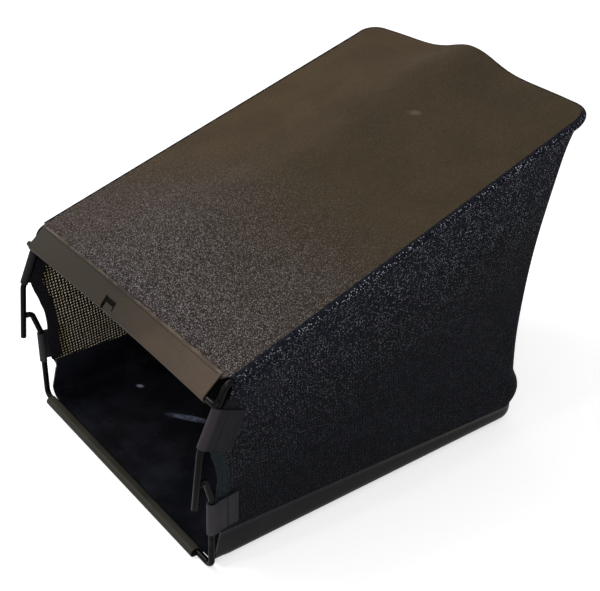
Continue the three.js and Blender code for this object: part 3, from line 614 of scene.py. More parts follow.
class Finish(Nodes):
    """A Principled material fed by procedural nodes in object coordinates."""

    def __init__(self, name, roughness, specular):
        self.material = bpy.data.materials.new(name)
        self.material.use_nodes = True
        super().__init__(self.material.node_tree)
        self.shader = self.tree.nodes["Principled BSDF"]
        self.shader.inputs["Roughness"].default_value = roughness
        self.shader.inputs["Specular IOR Level"].default_value = specular
        self.place = self.node("ShaderNodeTexCoord").outputs["Object"]
        self.axes = self.node("ShaderNodeSeparateXYZ", Vector=self.place).outputs

    def noise(self, size_mm, detail=2.0, stretch=(1, 1, 1)):
        """Noise from 0 to 1 whose grains are about size_mm, longer along axes with a stretch."""
        scale = tuple(1000 / size_mm / s for s in stretch)
        vector = self.node("ShaderNodeMapping", Vector=self.place, Scale=scale).outputs[0]
        made = self.node("ShaderNodeTexNoise", Vector=vector, Scale=1.0, Detail=detail)
        return made.outputs["Fac"]

    def flat(self, axes):
        """Two of the object's axes as flat coordinates, in metres."""
        first, second = (self.axes["XYZ".index(a)] for a in axes)
        return self.node("ShaderNodeCombineXYZ", X=first, Y=second).outputs[0]

    def plane(self, axes, pitch_mm, turn=0.0):
        """Flat coordinates in units of pitch_mm, turned by an angle."""
        turned = {"Rotation": (0, 0, turn), "Scale": (1000 / pitch_mm,) * 3}
        return self.node("ShaderNodeMapping", Vector=self.flat(axes), **turned).outputs[0]

    def cloth(self):
        """Place on the cloth laid flat, in metres; the second is the distance from its last row."""
        flat = self.node("ShaderNodeTexCoord").outputs["UV"]
        return flat, self.node("ShaderNodeSeparateXYZ", Vector=flat).outputs["Y"]

    def knit(self, pitch_mm, turn=0.0, rows=1.0):
        """Cloth coordinates in units of pitch_mm, turned by an angle; rows makes rows closer."""
        scale = (1000 / pitch_mm, 1000 / pitch_mm * rows, 1)
        made = self.node("ShaderNodeMapping", Vector=self.cloth()[0], Rotation=(0, 0, turn), Scale=scale)
        return made.outputs[0]

    def cells(self, vector, randomness):
        settings = {"voronoi_dimensions": "2D"}
        made = self.node("ShaderNodeTexVoronoi", settings, Vector=vector, Scale=1.0)
        made.inputs["Randomness"].default_value = randomness
        return made.outputs

    def lattice(self, vector):
        """Waves that add up to 2.8 at the points of a square lattice, lengthened on one diagonal."""
        place = self.node("ShaderNodeSeparateXYZ", Vector=vector).outputs
        wander = self.times(self.minus(self.noise(9, 2), 0.5), 0.7)
        turn = 2 * math.pi
        first = self.times(self.plus(place["X"], wander), turn)
        second = self.times(self.minus(place["Y"], wander), turn)
        square = self.plus(self.math("COSINE", first), self.math("COSINE", second))
        across = self.math("COSINE", self.minus(first, second))
        return self.plus(square, self.times(across, 0.8))

    def pick(self, cells):
        """A random value from 0 to 1 for each cell."""
        return self.node("ShaderNodeSeparateColor", Color=cells["Color"]).outputs[0]

    def spot(self, axes, centre, half, turn=0.0, edge=0.4):
        """1 in the middle of an oval on the plane of two axes, 0 at its rim; layout millimetres."""
        place = [(at - (SHIFT_Y if axis == "Y" else 0)) / 1000 for axis, at in zip(axes, centre)]
        size = (half[0] / 1000, half[1] / 1000, 1)
        made = self.node("ShaderNodeMapping", {"vector_type": "TEXTURE"}, Vector=self.flat(axes),
                         Location=(*place, 0), Rotation=(0, 0, turn), Scale=size)
        reach = self.node("ShaderNodeVectorMath", {"operation": "LENGTH"}, Vector=made.outputs[0])
        return self.ramp(reach.outputs["Value"], edge, 1.0, 1.0, 0.0)

    def away(self, axis):
        """Above 0 on faces that look along an axis away from the middle of the bag."""
        normal = self.node("ShaderNodeTexCoord").outputs["Normal"]
        across = self.node("ShaderNodeSeparateXYZ", Vector=normal).outputs[axis]
        return self.times(across, self.axes[axis])

    def inside(self, axis):
        """1 on faces that look along an axis toward the middle of the bag, 0 on the others."""
        return self.math("LESS_THAN", self.away(axis), 0.0)

    def outward(self):
        """1 on faces that look sideways away from the middle of the bag, 0 on the others."""
        return self.ramp(self.plus(self.away("X"), self.away("Y")), 0.02, 0.06)

    def mix(self, factor, a, b):
        made = self.tree.nodes.new("ShaderNodeMix")
        made.data_type = "RGBA"
        for index, value in ((0, factor), (6, a), (7, b)):
            self.feed(made.inputs[index], value)
        return made.outputs[2]

    def bump(self, height, depth_mm, strength=1.0):
        made = self.node("ShaderNodeBump", Height=height, Strength=strength, Distance=depth_mm / 1000)
        self.feed(self.shader.inputs["Normal"], made.outputs[0])

    def base(self, value):
        self.feed(self.shader.inputs["Base Color"], value)


def top_knit():
    """Fine dense knit, the same dark cloth as the sides but painted brown as lit from above: salt and
    pepper with painted glints toward the mouth, fading to an even brown at the rear, with painted
    shade in its holes and under the strip, and one small smudge."""
    f = Finish("top_knit", 0.85, 0.08)
    loops = f.cells(f.knit(0.92), 0.9)
    rows = f.cells(f.knit(2.2, math.pi / 4), 0.12)
    pick = f.pick(loops)
    hole = f.ramp(rows["Distance"], 0.18, 0.34, 1.0, 0.0)
    pepper = f.mix(f.ramp(pick, 0.1, 0.7), colour(20, 17, 16), colour(72, 66, 63))
    # painted glints: the lightest specks
    pepper = f.mix(f.ramp(pick, 0.76, 0.94), pepper, colour(141, 132, 134))
    cloudy = f.ramp(f.noise(70, 3), 0.3, 0.7)
    # painted light: the left half is lighter than the right, as the gable's left facet faces the light
    left = f.mix(cloudy, colour(67, 54, 37), colour(78, 63, 44))
    right = f.mix(cloudy, colour(59, 50, 36), colour(68, 57, 41))
    lit_brown = f.mix(f.ramp(f.axes["X"], -0.12, 0.04), left, right)
    fine = f.mix(f.ramp(pick, 0.2, 0.8), colour(54, 46, 35), colour(76, 66, 52))
    lit_brown = f.mix(0.3, lit_brown, fine)
    # where the salt and pepper with its painted glints shows: toward the mouth, less on the far left
    glint_reach = f.plus(f.axes["Y"], f.times(f.noise(120, 2), 0.12))
    fade = f.ramp(glint_reach, -0.235, 0.1, 1.0, 0.04)
    body = f.mix(f.times(fade, f.ramp(f.axes["X"], -0.22, -0.06, 0.72, 1.0)), lit_brown, pepper)
    # painted shade: the holes are darkened as the dark inside of the bag seen through them, more toward the
    # mouth
    hole_shade = f.times(hole, f.ramp(f.axes["Y"], -0.2, 0.12, 0.5, 0.1))
    body = f.mix(hole_shade, body, colour(14, 12, 10))
    smudge = f.times(f.spot("XY", (53, 429), (13, 7), 0.5, 0.1), 0.4)
    body = f.mix(smudge, body, colour(112, 104, 90))
    # painted shade: the cloth under the strip is near black
    edge = (UNDER_STRIP_Y - SHIFT_Y) / 1000
    under_strip_shade = f.ramp(f.axes["Y"], edge - 0.003, edge, 1.0, 0.0)
    f.base(f.mix(under_strip_shade, body, colour(8, 7, 6)))
    relief = f.minus(f.times(loops["Distance"], -0.5), hole)
    f.bump(relief, 0.3, 0.6)
    return f.material


def side_knit(name, axes, across):
    """Open knit mesh: rows of holes between dark yarn, whose knots carry painted glints near the rails;
    its holes are painted as shade outside and as light let through inside.
    """
    f = Finish(name, 0.75, 0.1)
    mesh = f.lattice(f.plane(axes, MESH_PITCH, -0.1))
    loops = f.cells(f.knit(2.0, rows=1.2), 0.75)
    pick = f.pick(loops)
    depth = f.cloth()[1]
    hole = f.ramp(mesh, 0.75, 1.6)
    # where the knots carry painted glints: most just below the rail seam, fading downward, weaker toward the
    # front
    near = f.plus(f.ramp(depth, 0.006, 0.03, 0.45, 0.0), f.ramp(depth, 0.03, 0.25, 0.55, 0.05))
    near = f.times(near, f.ramp(depth, 0.0015, 0.004))
    near = f.times(near, f.ramp(f.axes["Y"], -0.28, -0.1, 0.6, 1.0))
    patchy = f.ramp(f.noise(22, 3), 0.35, 0.65, 0.5, 1.0)
    knot = f.times(f.ramp(loops["Distance"], 0.14, 0.36, 1.0, 0.0), f.ramp(pick, 0.72, 0.9))
    painted_glint = f.times(f.times(near, patchy), knot)
    outer = f.mix(f.times(pick, f.noise(60, 3)), colour(7, 8, 12), colour(33, 35, 43))
    outer = f.mix(f.ramp(depth, 0.02, 0.16, 0.45, 0.0), outer, colour(20, 23, 38))
    outer = f.mix(painted_glint, outer, colour(246, 249, 255))
    # painted shade: seen from outside, the holes are darkened as the inside of the bag shows through them
    outer = f.mix(f.times(hole, 0.4), outer, colour(3, 3, 4))
    inner = f.mix(pick, colour(4, 4, 4), colour(17, 15, 12))
    # painted light: from inside, the holes are pale tan as daylight let through them
    inner = f.mix(hole, inner, colour(204, 186, 142))
    f.base(f.mix(f.inside(across), outer, inner))
    f.bump(f.minus(f.times(loops["Distance"], -0.5), hole), 0.4, 0.7)
    f.feed(f.shader.inputs["Alpha"], f.minus(1.0, f.times(hole, 0.3)))
    return f.material


def vinyl(name, along, dark, light, warm=None, fold=None):
    """Extruded vinyl: satin, with fine lines along its length and scuffed patches. warm gives the
    two colours that the strip over the mouth has at its right-hand end, and lighter patches along
    its rear edge. fold gives the slope and the place of the line that a side binding's rod
    follows, and how far behind it the crease lies; the fold round the rod gets a painted
    highlight on the right-hand bindings, and the crease a dark line of painted shade."""
    f = Finish(name, 0.5, 0.12)
    stretch = tuple(40 if a == along else 1 for a in "XYZ")
    lines = f.noise(1.3, 2, stretch)
    patch = f.noise(45, 4)
    shade = f.plus(f.times(lines, 0.35), f.times(patch, 0.65))
    shade = f.ramp(shade, 0.3, 0.7)
    body = f.mix(shade, dark, light)
    if warm:
        body = f.mix(f.ramp(f.axes["X"], -0.02, 0.19), body, f.mix(shade, *warm))
        # lighter patches along the strip's rear edge
        crown = f.times(f.times(f.axes["X"], f.axes["X"]), STRIP_EDGE["bow"])
        above = f.plus(f.minus(f.axes["Z"], STRIP_EDGE["z"] / 1000), crown)
        patchy = f.ramp(f.noise(18, 3), 0.35, 0.65, 0.0, 0.5)
        lighter_edge = f.times(f.ramp(above, -0.0018, -0.0006), patchy)
        body = f.mix(lighter_edge, body, colour(122, 108, 92))
    if fold:
        slope, start, crease = fold
        line = f.plus(f.times(f.axes["Z"], slope), (start - SHIFT_Y) / 1000)
        behind = f.minus(f.axes["Y"], line)
        # painted highlight on the fold round the rod, on the right-hand bindings only
        lighter = f.ramp(behind, -0.002, 0.004, 0.5, 0.0)
        lighter = f.times(lighter, f.ramp(f.axes["X"], -0.1, 0.1))
        body = f.mix(lighter, body, colour(64, 58, 63))
        # painted shade: a dark line along the crease
        beside = f.math("ABSOLUTE", f.minus(behind, crease / 1000))
        body = f.mix(f.ramp(beside, 0.0007, 0.002, 0.7, 0.0), body, colour(13, 12, 15))
    f.base(body)
    f.feed(f.shader.inputs["Roughness"], f.ramp(patch, 0.3, 0.7, 0.42, 0.6))
    f.bump(f.plus(lines, f.times(f.noise(0.8, 2), 0.6)), 0.12, 0.6)
    return f.material


def painted_rod():
    """Black gloss paint with a few scuffs."""
    f = Finish("rod_paint", 0.06, 0.09)
    scuff = f.ramp(f.noise(5, 4, (1, 1, 5)), 0.66, 0.74)
    wear = f.ramp(f.noise(14, 5), 0.62, 0.72)
    body = f.mix(wear, colour(7, 7, 6), colour(15, 14, 12))
    f.base(f.mix(f.times(scuff, 0.4), body, colour(60, 57, 50)))
    f.feed(f.shader.inputs["Roughness"], f.ramp(f.noise(9, 3), 0.35, 0.7, 0.05, 0.15))
    f.bump(f.noise(3, 2), 0.05, 0.5)
    return f.material


def moulded_tray():
    """Dark moulded plastic, half gloss, scratched and dusty, with a bright streak and a small bright spot
    on its floor; outside it is painted darker as shade, with a painted highlight along its ledge
    that is lighter toward the rear."""
    f = Finish("tray_plastic", 0.25, 0.3)
    haze = f.noise(60, 4)
    scratch = f.ramp(f.noise(1.2, 3, (1, 60, 60)), 0.66, 0.76)
    dust = f.ramp(f.noise(7, 6), 0.6, 0.8)
    body = f.mix(f.ramp(haze, 0.35, 0.7), colour(15, 16, 21), colour(27, 28, 35))
    body = f.mix(f.times(f.math("MAXIMUM", scratch, dust), 0.3), body, colour(52, 52, 56))
    # a patchy bright bluish streak and a small brighter spot on the floor
    streak = f.spot("XY", (-50, 141), (46, 8), 0.66, 0.3)
    patchy_streak = f.times(streak, f.ramp(f.noise(5, 3), 0.35, 0.6, 0.35, 1.0))
    body = f.mix(patchy_streak, body, colour(122, 132, 156))
    body = f.mix(f.spot("XY", (-161, 122), (8, 5), 0.5, 0.2), body, colour(176, 180, 205))
    outer = f.outward()
    # painted shade: the outside faces are darker than the same plastic inside
    body = f.mix(f.times(outer, 0.75), body, colour(9, 10, 12))
    slope = (LEDGE_REAR_Z - LEDGE_FRONT_Z) / TRAY_REAR
    start = (LEDGE_FRONT_Z + slope * SHIFT_Y) / 1000
    fall = f.times(f.axes["Y"], slope)
    above = f.minus(f.minus(f.axes["Z"], start), fall)
    # painted highlight along the ledge: on the outside from just below the ledge upward, greyer at the
    # front, browner and lighter toward the rear
    lighter_edge = f.times(outer, f.ramp(above, -0.0075, -0.003, 0.0, 0.8))
    light = f.mix(f.ramp(f.axes["Y"], -0.15, 0.2), colour(34, 34, 38), colour(62, 60, 56))
    f.base(f.mix(lighter_edge, body, light))
    f.feed(f.shader.inputs["Roughness"], f.ramp(haze, 0.3, 0.7, 0.2, 0.34))
    f.bump(f.noise(1.6, 3), 0.08, 0.5)
    return f.material


def hem_cloth():
    """Woven tape: teal black outside, navy black inside, with a fine twill."""
    f = Finish("hem_weave", 0.8, 0.1)
    twill = f.cells(f.knit(1.1, 0.6), 0.35)
    pick = f.pick(twill)
    teal = f.mix(pick, colour(14, 18, 21), colour(37, 46, 51))
    # painted shade: outside, from about 0.18 to 0.25 m up, by the upper binding, the teal turns darker
    outer = f.mix(f.ramp(f.axes["Z"], 0.18, 0.25), teal, f.mix(pick, colour(14, 14, 17), colour(31, 31, 36)))
    inner = f.mix(pick, colour(12, 11, 15), colour(27, 25, 31))
    f.base(f.mix(f.inside("X"), outer, inner))
    f.bump(twill["Distance"], 0.3, 0.8)
    return f.material


def thread_look():
    f = Finish("thread", 0.7, 0.1)
    twist = f.noise(0.6, 2, (1, 3, 1))
    f.base(f.mix(twist, colour(12, 12, 12), colour(40, 38, 35)))
    f.bump(twist, 0.1, 0.6)
    return f.material


LOOKS = {
    "rod": painted_rod(),
    "tray": moulded_tray(),
    "top": top_knit(),
    "side": side_knit("side_knit", "YZ", "X"),
    "rear": side_knit("rear_knit", "XZ", "Y"),
    "tape": hem_cloth(),
    "strip": vinyl("strip_vinyl", "X", colour(44, 39, 31), colour(54, 47, 38),
                   (colour(70, 59, 49), colour(84, 71, 59))),
    "channel": vinyl("channel_vinyl", "X", colour(39, 38, 32), colour(52, 50, 43)),
    # the upper bindings are the same vinyl as the lower ones, painted darker as shade
    "upper_clip": vinyl("upper_clip_vinyl", "Z", colour(17, 17, 20), colour(31, 30, 35),
                        fold=(LEG_SLOPE, leg_y(0.0), 14.5)),
    "lower_clip": vinyl("lower_clip_vinyl", "Z", colour(34, 33, 37), colour(54, 52, 56),
                        fold=(0.0, 0.0, 22.0)),
    "thread": thread_look(),
}


# Rods.
def rail_path():
    rear = [rail_centre(p) for p in np.linspace(1, ARC_END, 44)]
    arc = [rail_centre(p) for p in np.linspace(ARC_END, SIDE_END, 18)[1:]]
    right = [(p, 0) for p in [*rear, *arc]]
    right.append((vec(RAIL_HALF_FRONT, RAIL_FRONT["y"], RAIL_FRONT["z"]), RAIL_FRONT["bend"]))
    right.append((corner_of(LEG_KNEE), LEG_KNEE["bend"]))
    right.append((corner_of(LEG_TIP), 0))
    return round_corners(mirrored_path(right))


def ridge_path():
    front, rear = vec(0, CROSSBAR_Y, crossbar_z(0)), vec(0, RAIL_REAR["y"], rear_rod_z(0))
    run = [vec(0, y, z) for y, z in over_rails(RIDGE_PATH)]
    start = front + unit(run[0] - front) * (ROD_R + FIT)
    end = rear + unit(run[-1] - rear) * (ROD_R + FIT)
    bends = [RIDGE_BENDS["others" if i else "front"] for i in range(len(run))]
    return round_corners([(start, 0), *zip(run, bends), (end, 0)])


def lower_path():
    weld = leg_end(STUB_BEND["z"] + STUB_WELD_ABOVE)
    weld[1] += ROD_R + FIT + 0.1
    right = [(vec(FRAME_HALF, 0, LOWER_Z), LOWER_BEND), (corner_of(LOWER_KNEE), LOWER_KNEE["bend"]),
             (corner_of(STUB_BEND), STUB_BEND["bend"]), (weld, 0)]
    return round_corners(mirrored_path(right))


def crossbar_path():
    end = RAIL_HALF_FRONT + CROSSBAR_OVERHANG
    return [vec(x, CROSSBAR_Y, crossbar_z(x)) for x in np.linspace(-end, end, 60)]


for node, path in (("rail_rod", rail_path()), ("crossbar_rod", crossbar_path()),
                   ("ridge_rod", ridge_path()), ("lower_rod", lower_path())):
    put(f"{node}_painted", *tube(path), LOOKS["rod"], "rod", [node])


def weld_bead(centre, axis, radius, length, seed):
    """A lumpy bead round an axis where one rod is welded to another."""
    draw = random.Random(seed)
    axis = unit(np.array(axis, float))
    across = unit(np.cross(axis, (0.2, 0.5, 1.0)))
    other = np.cross(axis, across)
    turns, rings = 16, 7
    points = []
    for r in range(rings + 1):
        lift = -math.cos(math.pi * r / rings)
        girth = math.sqrt(max(0.0, 1 - lift * lift)) ** 0.6
        for k in range(turns):
            turn = 2 * math.pi * k / turns
            size = radius * girth * (1 + 0.07 * draw.uniform(-1, 1)) + 0.02
            side = across * math.cos(turn) + other * math.sin(turn)
            points.append(np.array(centre) + axis * lift * length / 2 + side * size)
    return points, ring_faces(rings + 1, turns)


def weld_beads():
    parts = []
    for side in (-1, 1):
        contact = leg_end(STUB_BEND["z"] + STUB_WELD_ABOVE) * (side, 1, 1)
        parts.append(weld_bead(contact + vec(0, ROD_R + 0.2, 0), (0, 1, 0.1), *STUB_WELD, 3 + side))
        bar = vec(side * leg_x(CROSSBAR_Z), CROSSBAR_Y, crossbar_z(RAIL_HALF_FRONT))
        leg = vec(side * leg_x(CROSSBAR_Z), leg_y(CROSSBAR_Z), CROSSBAR_Z)
        parts.append(weld_bead((bar + leg) / 2, leg - bar, *BAR_WELD, 7 + side))
    front = vec(0, CROSSBAR_Y, crossbar_z(0))
    rear = vec(0, RAIL_REAR["y"], rear_rod_z(0))
    run = [vec(0, y, z) for y, z in over_rails(RIDGE_PATH)]
    for end, near, seed in ((front, run[0], 11), (rear, run[-1], 12)):
        toward = unit(near - end)
        parts.append(weld_bead(end + toward * (ROD_R + 0.2), toward, *RIDGE_WELD, seed))
    return joined(parts)


put("weld_beads", *weld_beads(), LOOKS["rod"], "rod")


# Side and rear cloth.
def wall_levels():
    rim = np.linspace(0, RIM_SHARE, 7)[:-1]
    return [*rim, *np.linspace(RIM_SHARE, 0.95, 56), 0.965, 0.98, 0.99, *np.linspace(1, 2, 19)]


def slack(y, z, side):
    """Gentle unevenness of stretched cloth, in millimetres."""
    wide = math.sin(y / 61 + 1.3 * side) * math.sin(z / 47 + 0.6) + 0.5 * math.sin(y / 23 + z / 31 + side)
    return UNEVEN * wide


def wall_point(p, v, side):
    at = cloth_wall(abs(p), v)
    w = clamp((v - RIM_SHARE) / (1 - RIM_SHARE))
    out = rail_outline(abs(p))[1]
    inside = smooth(4 * w) * smooth(8 * (1 - w)) * (smooth((abs(p) - 0.06) * 8) if abs(p) < CORNER_P else 1)
    along = at[1] if abs(p) < CORNER_P else at[0] * (1 if p > 0 else -1)
    return at - out * inside * (DRAWN_IN + slack(along, at[2], side))


def side_rows(side):
    stations = [*np.linspace(0, SIDE_END, 110), *np.linspace(SIDE_END, CORNER_P - SEAM_GAP, 9)[1:]]
    return [[wall_point(p, v, side) * (side, 1, 1) for p in stations] for v in wall_levels()]


def rear_rows():
    right = [*np.linspace(CORNER_P + SEAM_GAP, ARC_END, 9), *np.linspace(ARC_END, 1, 46)[1:]]
    stations = [*right, *(-p for p in reversed(right[:-1]))]
    return [[wall_point(p, v, 0) * (1 if p > 0 else -1, 1, 1) for p in stations] for v in wall_levels()]


for side, name in ((-1, "left"), (1, "right")):
    sheet_piece(f"side_cloth_{name}", side_rows(side), LOOKS["side"], "side_cloth",
                                     [f"side_panel_{name}"], SHOWN_CLOTH, side < 0)
sheet_piece("rear_cloth", rear_rows(), LOOKS["rear"], "side_cloth",
                                   ["rear_panel"], SHOWN_CLOTH, False)


# Top cloth.
def gable(t):
    def soft(x):
        return math.hypot(x, RIDGE_SOFTNESS) - RIDGE_SOFTNESS
    return 1 - soft(t) / soft(1)


def top_point(p, u):
    sign = 1 if u > 0 else -1
    if p >= ARC_END:
        rear = rail_wrap(ARC_END + (1 - ARC_END) * (1 - abs(u)), TOP_START)
        return vec(abs(rear[0]) * sign, rear[1], rear[2])
    edge = rail_wrap(p, TOP_START)
    ridge = np.interp(edge[1], *RIDGE_CURVE)
    fade = smooth((edge[1] - (RAIL_REAR["y"] - HUMP["blend"])) / HUMP["blend"])
    base = rear_rod_z(edge[0])
    hump = (rear_rod_z(u * edge[0]) - base) / (rear_rod_z(0) - base)
    share = gable(u) * (1 - fade) + hump * fade
    return vec(edge[0] * u, edge[1], edge[2] + (ridge - edge[2]) * share)


def top_slack(x, y):
    """Sag between ridge and rails, a dent behind the strip and slight ripples near the front."""
    across = abs(x) / 215
    sag = 1.2 * math.sin(math.pi * clamp(across)) ** 2
    across_dent, along_dent = ((x - DENT["x"]) / DENT["half"][0], (y - DENT["y"]) / DENT["half"][1])
    dent = DENT["depth"] * math.exp(-across_dent ** 2 - along_dent ** 2)
    ripple = 0.35 * math.sin(x / 17 + 0.6 * math.sin(y / 29)) * math.exp(-((y - 70) / 70) ** 2)
    wide = 0.5 * math.sin(x / 53 + 0.7) * math.sin(y / 71)
    edge = smooth((1 - across) * 7) * smooth((y - 34) / 20) * smooth((RAIL_REAR["y"] - 12 - y) / 40)
    return (sag + dent + ripple + wide) * edge


def top_surface():
    shares = [math.sin(t * math.pi / 2) for t in np.linspace(-1, 1, 97)]
    columns = [0.5 * s + 0.5 * t for s, t in zip(shares, np.linspace(-1, 1, 97))]
    starts = np.linspace(CLOTH_START, STRIP_FLANGE - 3, 11)
    rows = []
    for k, along in enumerate(starts):
        row = []
        left = (len(starts) - k) / 2
        for u in columns:
            edge = top_point(0, u)
            cut = smooth((abs(u) - CUTBACK_FROM) / (1 - CUTBACK_FROM))
            under = beside_crossbar(edge[0], along, RING_IN - FIT)
            behind = edge - (0, 0.25 * left, 0.1 * left)
            row.append(lerp(under, behind, cut))
        rows.append(row)
    stations = [*np.linspace(0.02, SIDE_END, 100), *np.linspace(SIDE_END, ARC_END, 14)[1:]]
    for p in stations:
        rows.append([top_point(p, u) for u in columns])
    for row in rows[len(starts):-1]:
        for at in row:
            at[2] -= top_slack(at[0], at[1])
    return rows


sheet_piece("top_cloth", top_surface(), LOOKS["top"], "top_cloth", ["top_panel"],
                                  SHOWN_CLOTH, True)


# Tray.
def tray_front_y(z):
    return float(np.interp(z, (TRAY_EDGE + 2, LEDGE_FRONT_Z - 2.5), (TRAY_FRONT, RIM_FRONT_Y)))


def tray_floor_z(y):
    return TRAY_LIP["rise"] * (1 - smooth((y - TRAY_LIP["end"]) / TRAY_LIP["ramp"]))


def tray_wall(p, inset, z, lift):
    radius, half = TRAY_CORNER - inset, TRAY_HALF - inset
    x, y, _, _ = outline(p, half, half, tray_front_y(z), TRAY_REAR - inset, radius)
    return vec(x, y, z + lift)


def ledge_profile(ledge):
    """The tray's wall from its lower band over the ledge to the rim: (inset, height) pairs."""
    step = [(0, -1.4), (0.3, -0.6), (0.9, -0.25), (LEDGE_STEP, -0.2), (LEDGE_STEP, 0.8)]
    found = [(inset, ledge + above) for inset, above in step]
    return [*found, (LEDGE_STEP, TRAY_HEIGHT - 0.8), (LEDGE_STEP, TRAY_HEIGHT)]


def tray_surface():
    stations = [*np.linspace(0, 0.06, 9), *np.linspace(0.08, SIDE_END, 22)]
    stations += list(np.linspace(SIDE_END, ARC_END, 13)[1:])
    shares = np.linspace(-1, 1, 17)
    rows = []
    for p in stations:
        at = tray_wall(p, TRAY_EDGE, 0, 0)
        rows.append([vec(at[0] * u, at[1], tray_floor_z(at[1])) for u in shares])
    count, across = len(rows), len(shares)
    border = grid_border(count, across)
    points = [at for row in rows for at in row]
    faces = [tuple(reversed(f)) for f in grid_faces(count, across, True)]
    drops = []
    for i, _ in enumerate(border):
        on_rear = count <= i < count - 1 + across - 1
        on_left = i < count
        p = 1.0 if on_rear else (stations[i] if on_left else stations[2 * (count - 1) + across - 1 - i])
        sign = -1 if on_left else 1

        def at(inset, z, lift, rear=on_rear, p=p, sign=sign, i=i):
            found = tray_wall(p, inset, z, lift)
            found[0] = rows[-1][i - (count - 1)][0] if rear else found[0] * sign
            return found

        lift = 0.0 if on_rear else tray_floor_z(tray_wall(p, TRAY_EDGE, 0, 0)[1])
        drop = []
        for turn in np.linspace(0, math.pi / 2, 11)[1:-1]:
            z = TRAY_EDGE * (1 - math.cos(turn))
            drop.append(at(TRAY_EDGE * (1 - math.sin(turn)), z, lift * math.cos(turn)))
        drop.append(at(0, TRAY_EDGE + 0.5, 0))
        ledge = ledge_z(TRAY_REAR if on_rear else tray_wall(p, 0, LEDGE_FRONT_Z, 0)[1])
        drops.append(drop + [at(inset, z, 0) for inset, z in ledge_profile(ledge)])
    previous = border
    for k in range(len(drops[0])):
        first = len(points)
        points += [drop[k] for drop in drops]
        ring = list(range(first, first + len(drops)))
        for i in range(len(border) - 1):
            faces.append((ring[i], ring[i + 1], previous[i + 1], previous[i]))
        previous = ring
    return points, faces


tray_points, tray_faces = tray_surface()
put("tray_moulding", *thicken(tray_points, tray_faces, TRAY_WALL), LOOKS["tray"], "tray", ["tray"], 28)


# Bindings.
def grip_section(crease, end, mouth, nose=0.0):
    """Closed outline of a C-shaped grip with a flange, ends rounded: (rearward, outward) points.
    A nose draws the front of the ring away from the rod."""
    lean = math.atan2(RING_IN - crease[1], crease[0])
    start = math.pi / 2 - lean
    top = 1.5 * math.pi
    turns = [(a, -nose) for a in np.linspace(start, top, 18)]
    turns += [(a, 0.0) for a in np.linspace(top, mouth, 5)[0 if nose else 1:]]
    outer = [(shift + RING_OUT * math.cos(a), RING_OUT * math.sin(a)) for a, shift in turns]
    inner = [(shift + RING_IN * math.cos(a), RING_IN * math.sin(a)) for a, shift in reversed(turns)]
    middle = (RING_IN + RING_OUT) / 2
    lip = []
    for k in range(1, 5):
        a = math.pi * k / 5
        radius = middle + VINYL / 2 * math.cos(a)
        turn = mouth + VINYL / 2 * math.sin(a) / middle
        lip.append((radius * math.cos(turn), radius * math.sin(turn)))
    slant = VINYL * math.sin(lean) / 2
    tip = [(end[0] + 0.5, end[1] + 0.35), (end[0] + 0.7, end[1] + VINYL / 2),
           (end[0] + 0.5, end[1] + VINYL - 0.35)]
    back = [(end[0] + slant, end[1] + VINYL), (crease[0] + slant, crease[1] + VINYL)]
    return [*outer, *lip, *inner, crease, end, *tip, *back]


def sweep(sections, flip=False):
    """Joins equal closed outlines into a body with capped ends."""
    points = [np.array(p, float) for section in sections for p in section]
    faces = ring_faces(len(sections), len(sections[0]))
    if flip:
        faces = [tuple(reversed(f)) for f in faces]
    return points, faces


def grip_axes(start, end, outward):
    """A straight binding's own directions: along it, rearward and outward."""
    axis = unit(end - start)
    rearward = unit(np.cross(outward, axis))
    if rearward[1] < 0:
        rearward = -rearward
    return axis, rearward, unit(outward - axis * (outward @ axis))


def straight_grip(section, start, end, outward, steps=10):
    axis, rearward, out = grip_axes(start, end, outward)
    right_handed = np.cross(rearward, out) @ axis > 0
    rings = []
    for t in np.linspace(0, 1, steps):
        centre = lerp(start, end, t)
        rings.append([centre + rearward * a + out * b for a, b in section])
    return sweep(rings, not right_handed)


def outward_faces(piece):
    """Turns a closed piece's faces outward."""
    mesh = bmesh.new()
    mesh.from_mesh(piece.data)
    bmesh.ops.recalc_face_normals(mesh, faces=mesh.faces)
    mesh.to_mesh(piece.data)
    mesh.free()
    return piece


def lower_clip_ends(side):
    top = LOWER_BINDING_TOP[side]
    return [vec(side * lower_rod_x(z), 0, z) for z in (top - BINDING_LENGTH, top)]


UPPER_FLANGE_TIP = (38, RING_IN - 0.4)
LOWER_FLANGE_TIP = (37, -0.4)
UPPER_SECTION = grip_section((12, RING_IN - 0.1), UPPER_FLANGE_TIP, GRIP_MOUTH)
LOWER_SECTION = grip_section((20, 0.6), LOWER_FLANGE_TIP, GRIP_MOUTH)
CHANNEL_SECTION = grip_section((10, RING_IN), (CHANNEL_FLANGE, RING_IN), GRIP_MOUTH, CHANNEL_NOSE)
STRIP_SECTION = grip_section((12, RING_IN), (STRIP_FLANGE, RING_IN), STRIP_MOUTH)

for side, name in ((-1, "left"), (1, "right")):
    outward = vec(side, 0, 0)
    ends = [vec(side * leg_x(z), leg_y(z), z) for z in UPPER_BINDING_Z]
    outward_faces(put(f"upper_clip_{name}", *straight_grip(UPPER_SECTION, *ends, outward),
                      LOOKS["upper_clip"], "side_binding", [f"upper_binding_{name}"], 30))
    outward_faces(put(f"lower_clip_{name}", *straight_grip(LOWER_SECTION, *lower_clip_ends(side), outward),
                      LOOKS["lower_clip"], "side_binding", [f"lower_binding_{name}"], 30))
channel_ends = [vec(x, 0, LOWER_Z) for x in CHANNEL_ENDS]
outward_faces(put("channel_strip", *straight_grip(CHANNEL_SECTION, *channel_ends, vec(0, 0, -1), 40),
                  LOOKS["channel"], "binding", ["bottom_binding"], 30))


